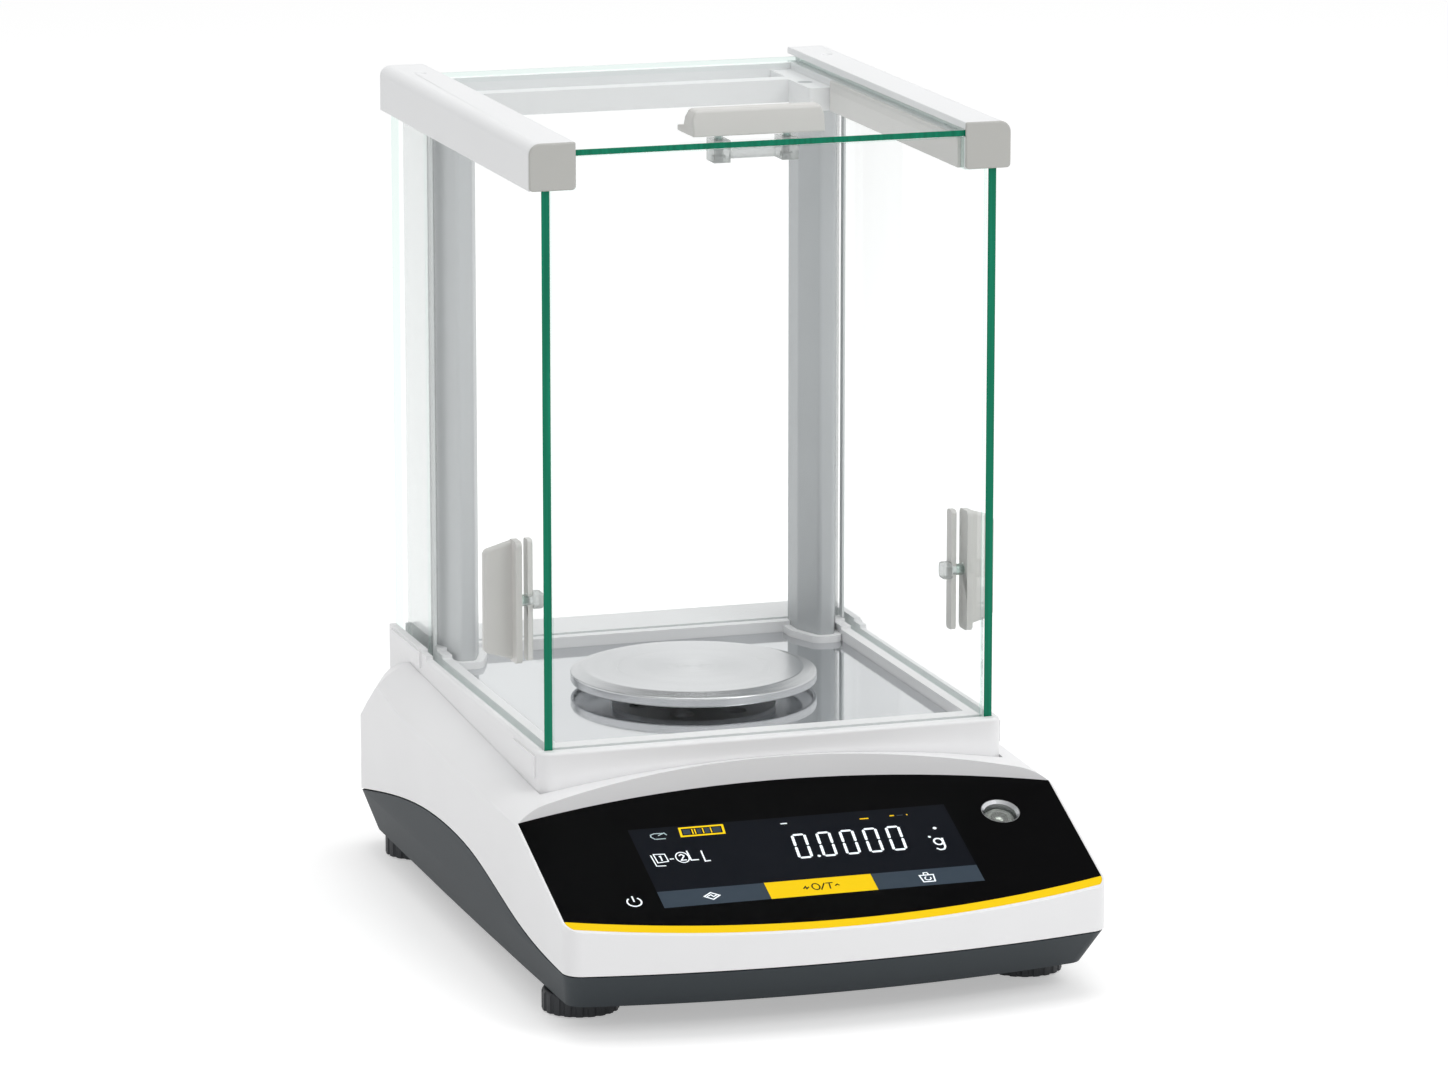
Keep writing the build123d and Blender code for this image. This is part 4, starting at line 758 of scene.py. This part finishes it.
def camera():
    """The photograph's view."""
    lens = bpy.data.cameras.new("photo_view")
    lens.lens = CAMERA_LENS
    lens.sensor_width = SENSOR_W
    lens.clip_end = 100.0
    eye = bpy.data.objects.new("photo_view", lens)
    eye.location = CAMERA_AT
    eye.rotation_euler = (math.pi / 2 - CAMERA_DOWN, 0.0, -CAMERA_TURN)
    bpy.context.scene.collection.objects.link(eye)
    bpy.context.scene.camera = eye


def lamp(name, place, power, size):
    """A square soft lamp that faces the object."""
    light = bpy.data.lights.new(name, "AREA")
    light.energy = power
    light.size = size
    holder = bpy.data.objects.new(name, light)
    holder.location = place
    holder.rotation_euler = (Vector(AIM) - Vector(place)).to_track_quat("-Z", "Y").to_euler()
    bpy.context.scene.collection.objects.link(holder)


def world():
    """A white room for the camera and glass, darker overhead in the gloss, softer for the light itself."""
    room = bpy.data.worlds.new("room")
    bpy.context.scene.world = room
    room.use_nodes = True
    nodes = room.node_tree.nodes
    links = room.node_tree.links
    seen = nodes["Background"]
    seen.inputs["Color"].default_value = (1.0, 1.0, 1.0, 1.0)
    soft = nodes.new("ShaderNodeBackground")
    soft.inputs["Color"].default_value = (1.0, 1.0, 1.0, 1.0)
    soft.inputs["Strength"].default_value = WORLD_SOFT
    way = nodes.new("ShaderNodeTexCoord")
    parts = nodes.new("ShaderNodeSeparateXYZ")
    links.new(way.outputs["Generated"], parts.inputs[0])
    fall = nodes.new("ShaderNodeMapRange")
    fall.interpolation_type = "SMOOTHSTEP"
    fall.inputs["From Min"].default_value = GLOSS_FALL[0]
    fall.inputs["From Max"].default_value = GLOSS_FALL[1]
    fall.inputs["To Min"].default_value = 1.0
    fall.inputs["To Max"].default_value = GLOSS_LOW
    links.new(parts.outputs["Z"], fall.inputs["Value"])
    ray = nodes.new("ShaderNodeLightPath")
    gloss = nodes.new("ShaderNodeMix")
    links.new(ray.outputs["Is Glossy Ray"], gloss.inputs[0])
    gloss.inputs[2].default_value = 1.0
    links.new(fall.outputs["Result"], gloss.inputs[3])
    links.new(gloss.outputs[0], seen.inputs["Strength"])
    either = nodes.new("ShaderNodeMath")
    either.operation = "MAXIMUM"
    links.new(ray.outputs["Is Camera Ray"], either.inputs[0])
    links.new(ray.outputs["Is Glossy Ray"], either.inputs[1])
    all_seen = nodes.new("ShaderNodeMath")
    all_seen.operation = "MAXIMUM"
    links.new(either.outputs[0], all_seen.inputs[0])
    links.new(ray.outputs["Is Transmission Ray"], all_seen.inputs[1])
    mix = nodes.new("ShaderNodeMixShader")
    links.new(all_seen.outputs[0], mix.inputs[0])
    links.new(soft.outputs[0], mix.inputs[1])
    links.new(seen.outputs[0], mix.inputs[2])
    links.new(mix.outputs[0], nodes["World Output"].inputs["Surface"])


def floor():
    """A white table that keeps the object's soft shadow."""
    finish = Finish("white_table")
    finish.skin.inputs["Base Color"].default_value = (0.96, 0.96, 0.96, 1.0)
    finish.skin.inputs["Roughness"].default_value = 0.9
    finish.skin.inputs["Specular IOR Level"].default_value = 0.0
    glow = finish.add("ShaderNodeEmission", Strength=FLOOR_GLOW)
    glow.inputs["Color"].default_value = (1.0, 1.0, 1.0, 1.0)
    ray = finish.add("ShaderNodeLightPath")
    either = finish.add("ShaderNodeMath", operation="MAXIMUM")
    finish.link(ray, "Is Camera Ray", either, 0)
    finish.link(ray, "Is Glossy Ray", either, 1)
    share = finish.add("ShaderNodeMath", operation="MULTIPLY")
    share.inputs[1].default_value = FLOOR_GLOW_SHARE
    finish.link(either, "Value", share, 0)
    mix = finish.add("ShaderNodeMixShader")
    finish.link(share, "Value", mix, "Fac")
    finish.link(finish.skin, "BSDF", mix, 1)
    finish.link(glow, "Emission", mix, 2)
    finish.link(mix, "Shader", finish.output, "Surface")
    half = FLOOR_SIZE / 2
    mesh = bpy.data.meshes.new("table")
    corners = [(-half, -half, 0), (half, -half, 0), (half, half, 0), (-half, half, 0)]
    mesh.from_pydata(corners, [], [(0, 1, 2, 3)])
    link_piece("table", mesh, [finish.material])


# The scene

camera()
world()
floor()
lamp("key_lamp", KEY_AT, KEY_POWER, KEY_SIZE)
lamp("top_lamp", TOP_AT, TOP_POWER, TOP_SIZE)
bpy.context.scene.view_settings.view_transform = "Standard"
bpy.context.scene.cycles.transparent_max_bounces = 32
bpy.context.scene.cycles.max_bounces = 14

for node, holder in NODES.items():
    holder.data.materials.clear()
    holder.data.materials.append(SLOT_MATERIALS[slot_of(node)])

for node, radius in ROUNDED.items():
    dressed(node, radius=radius * MM)
dressed("weighing_pan", radius=PAN_RADIUS * MM, segments=3, edge_angle=12)
pane("side_glass_left", 0)
pane("side_glass_right", 0)
pane("front_pane", 1, green_front=False)
pane("rear_pane", 1, green_front=False)
pane("top_glass", 2)

reading()
unit_marks()
status_marks()
range_marks()
load_bar()
load_bar_cells()
key_signs()
tare_sign()
key_divisions()
level_marks()
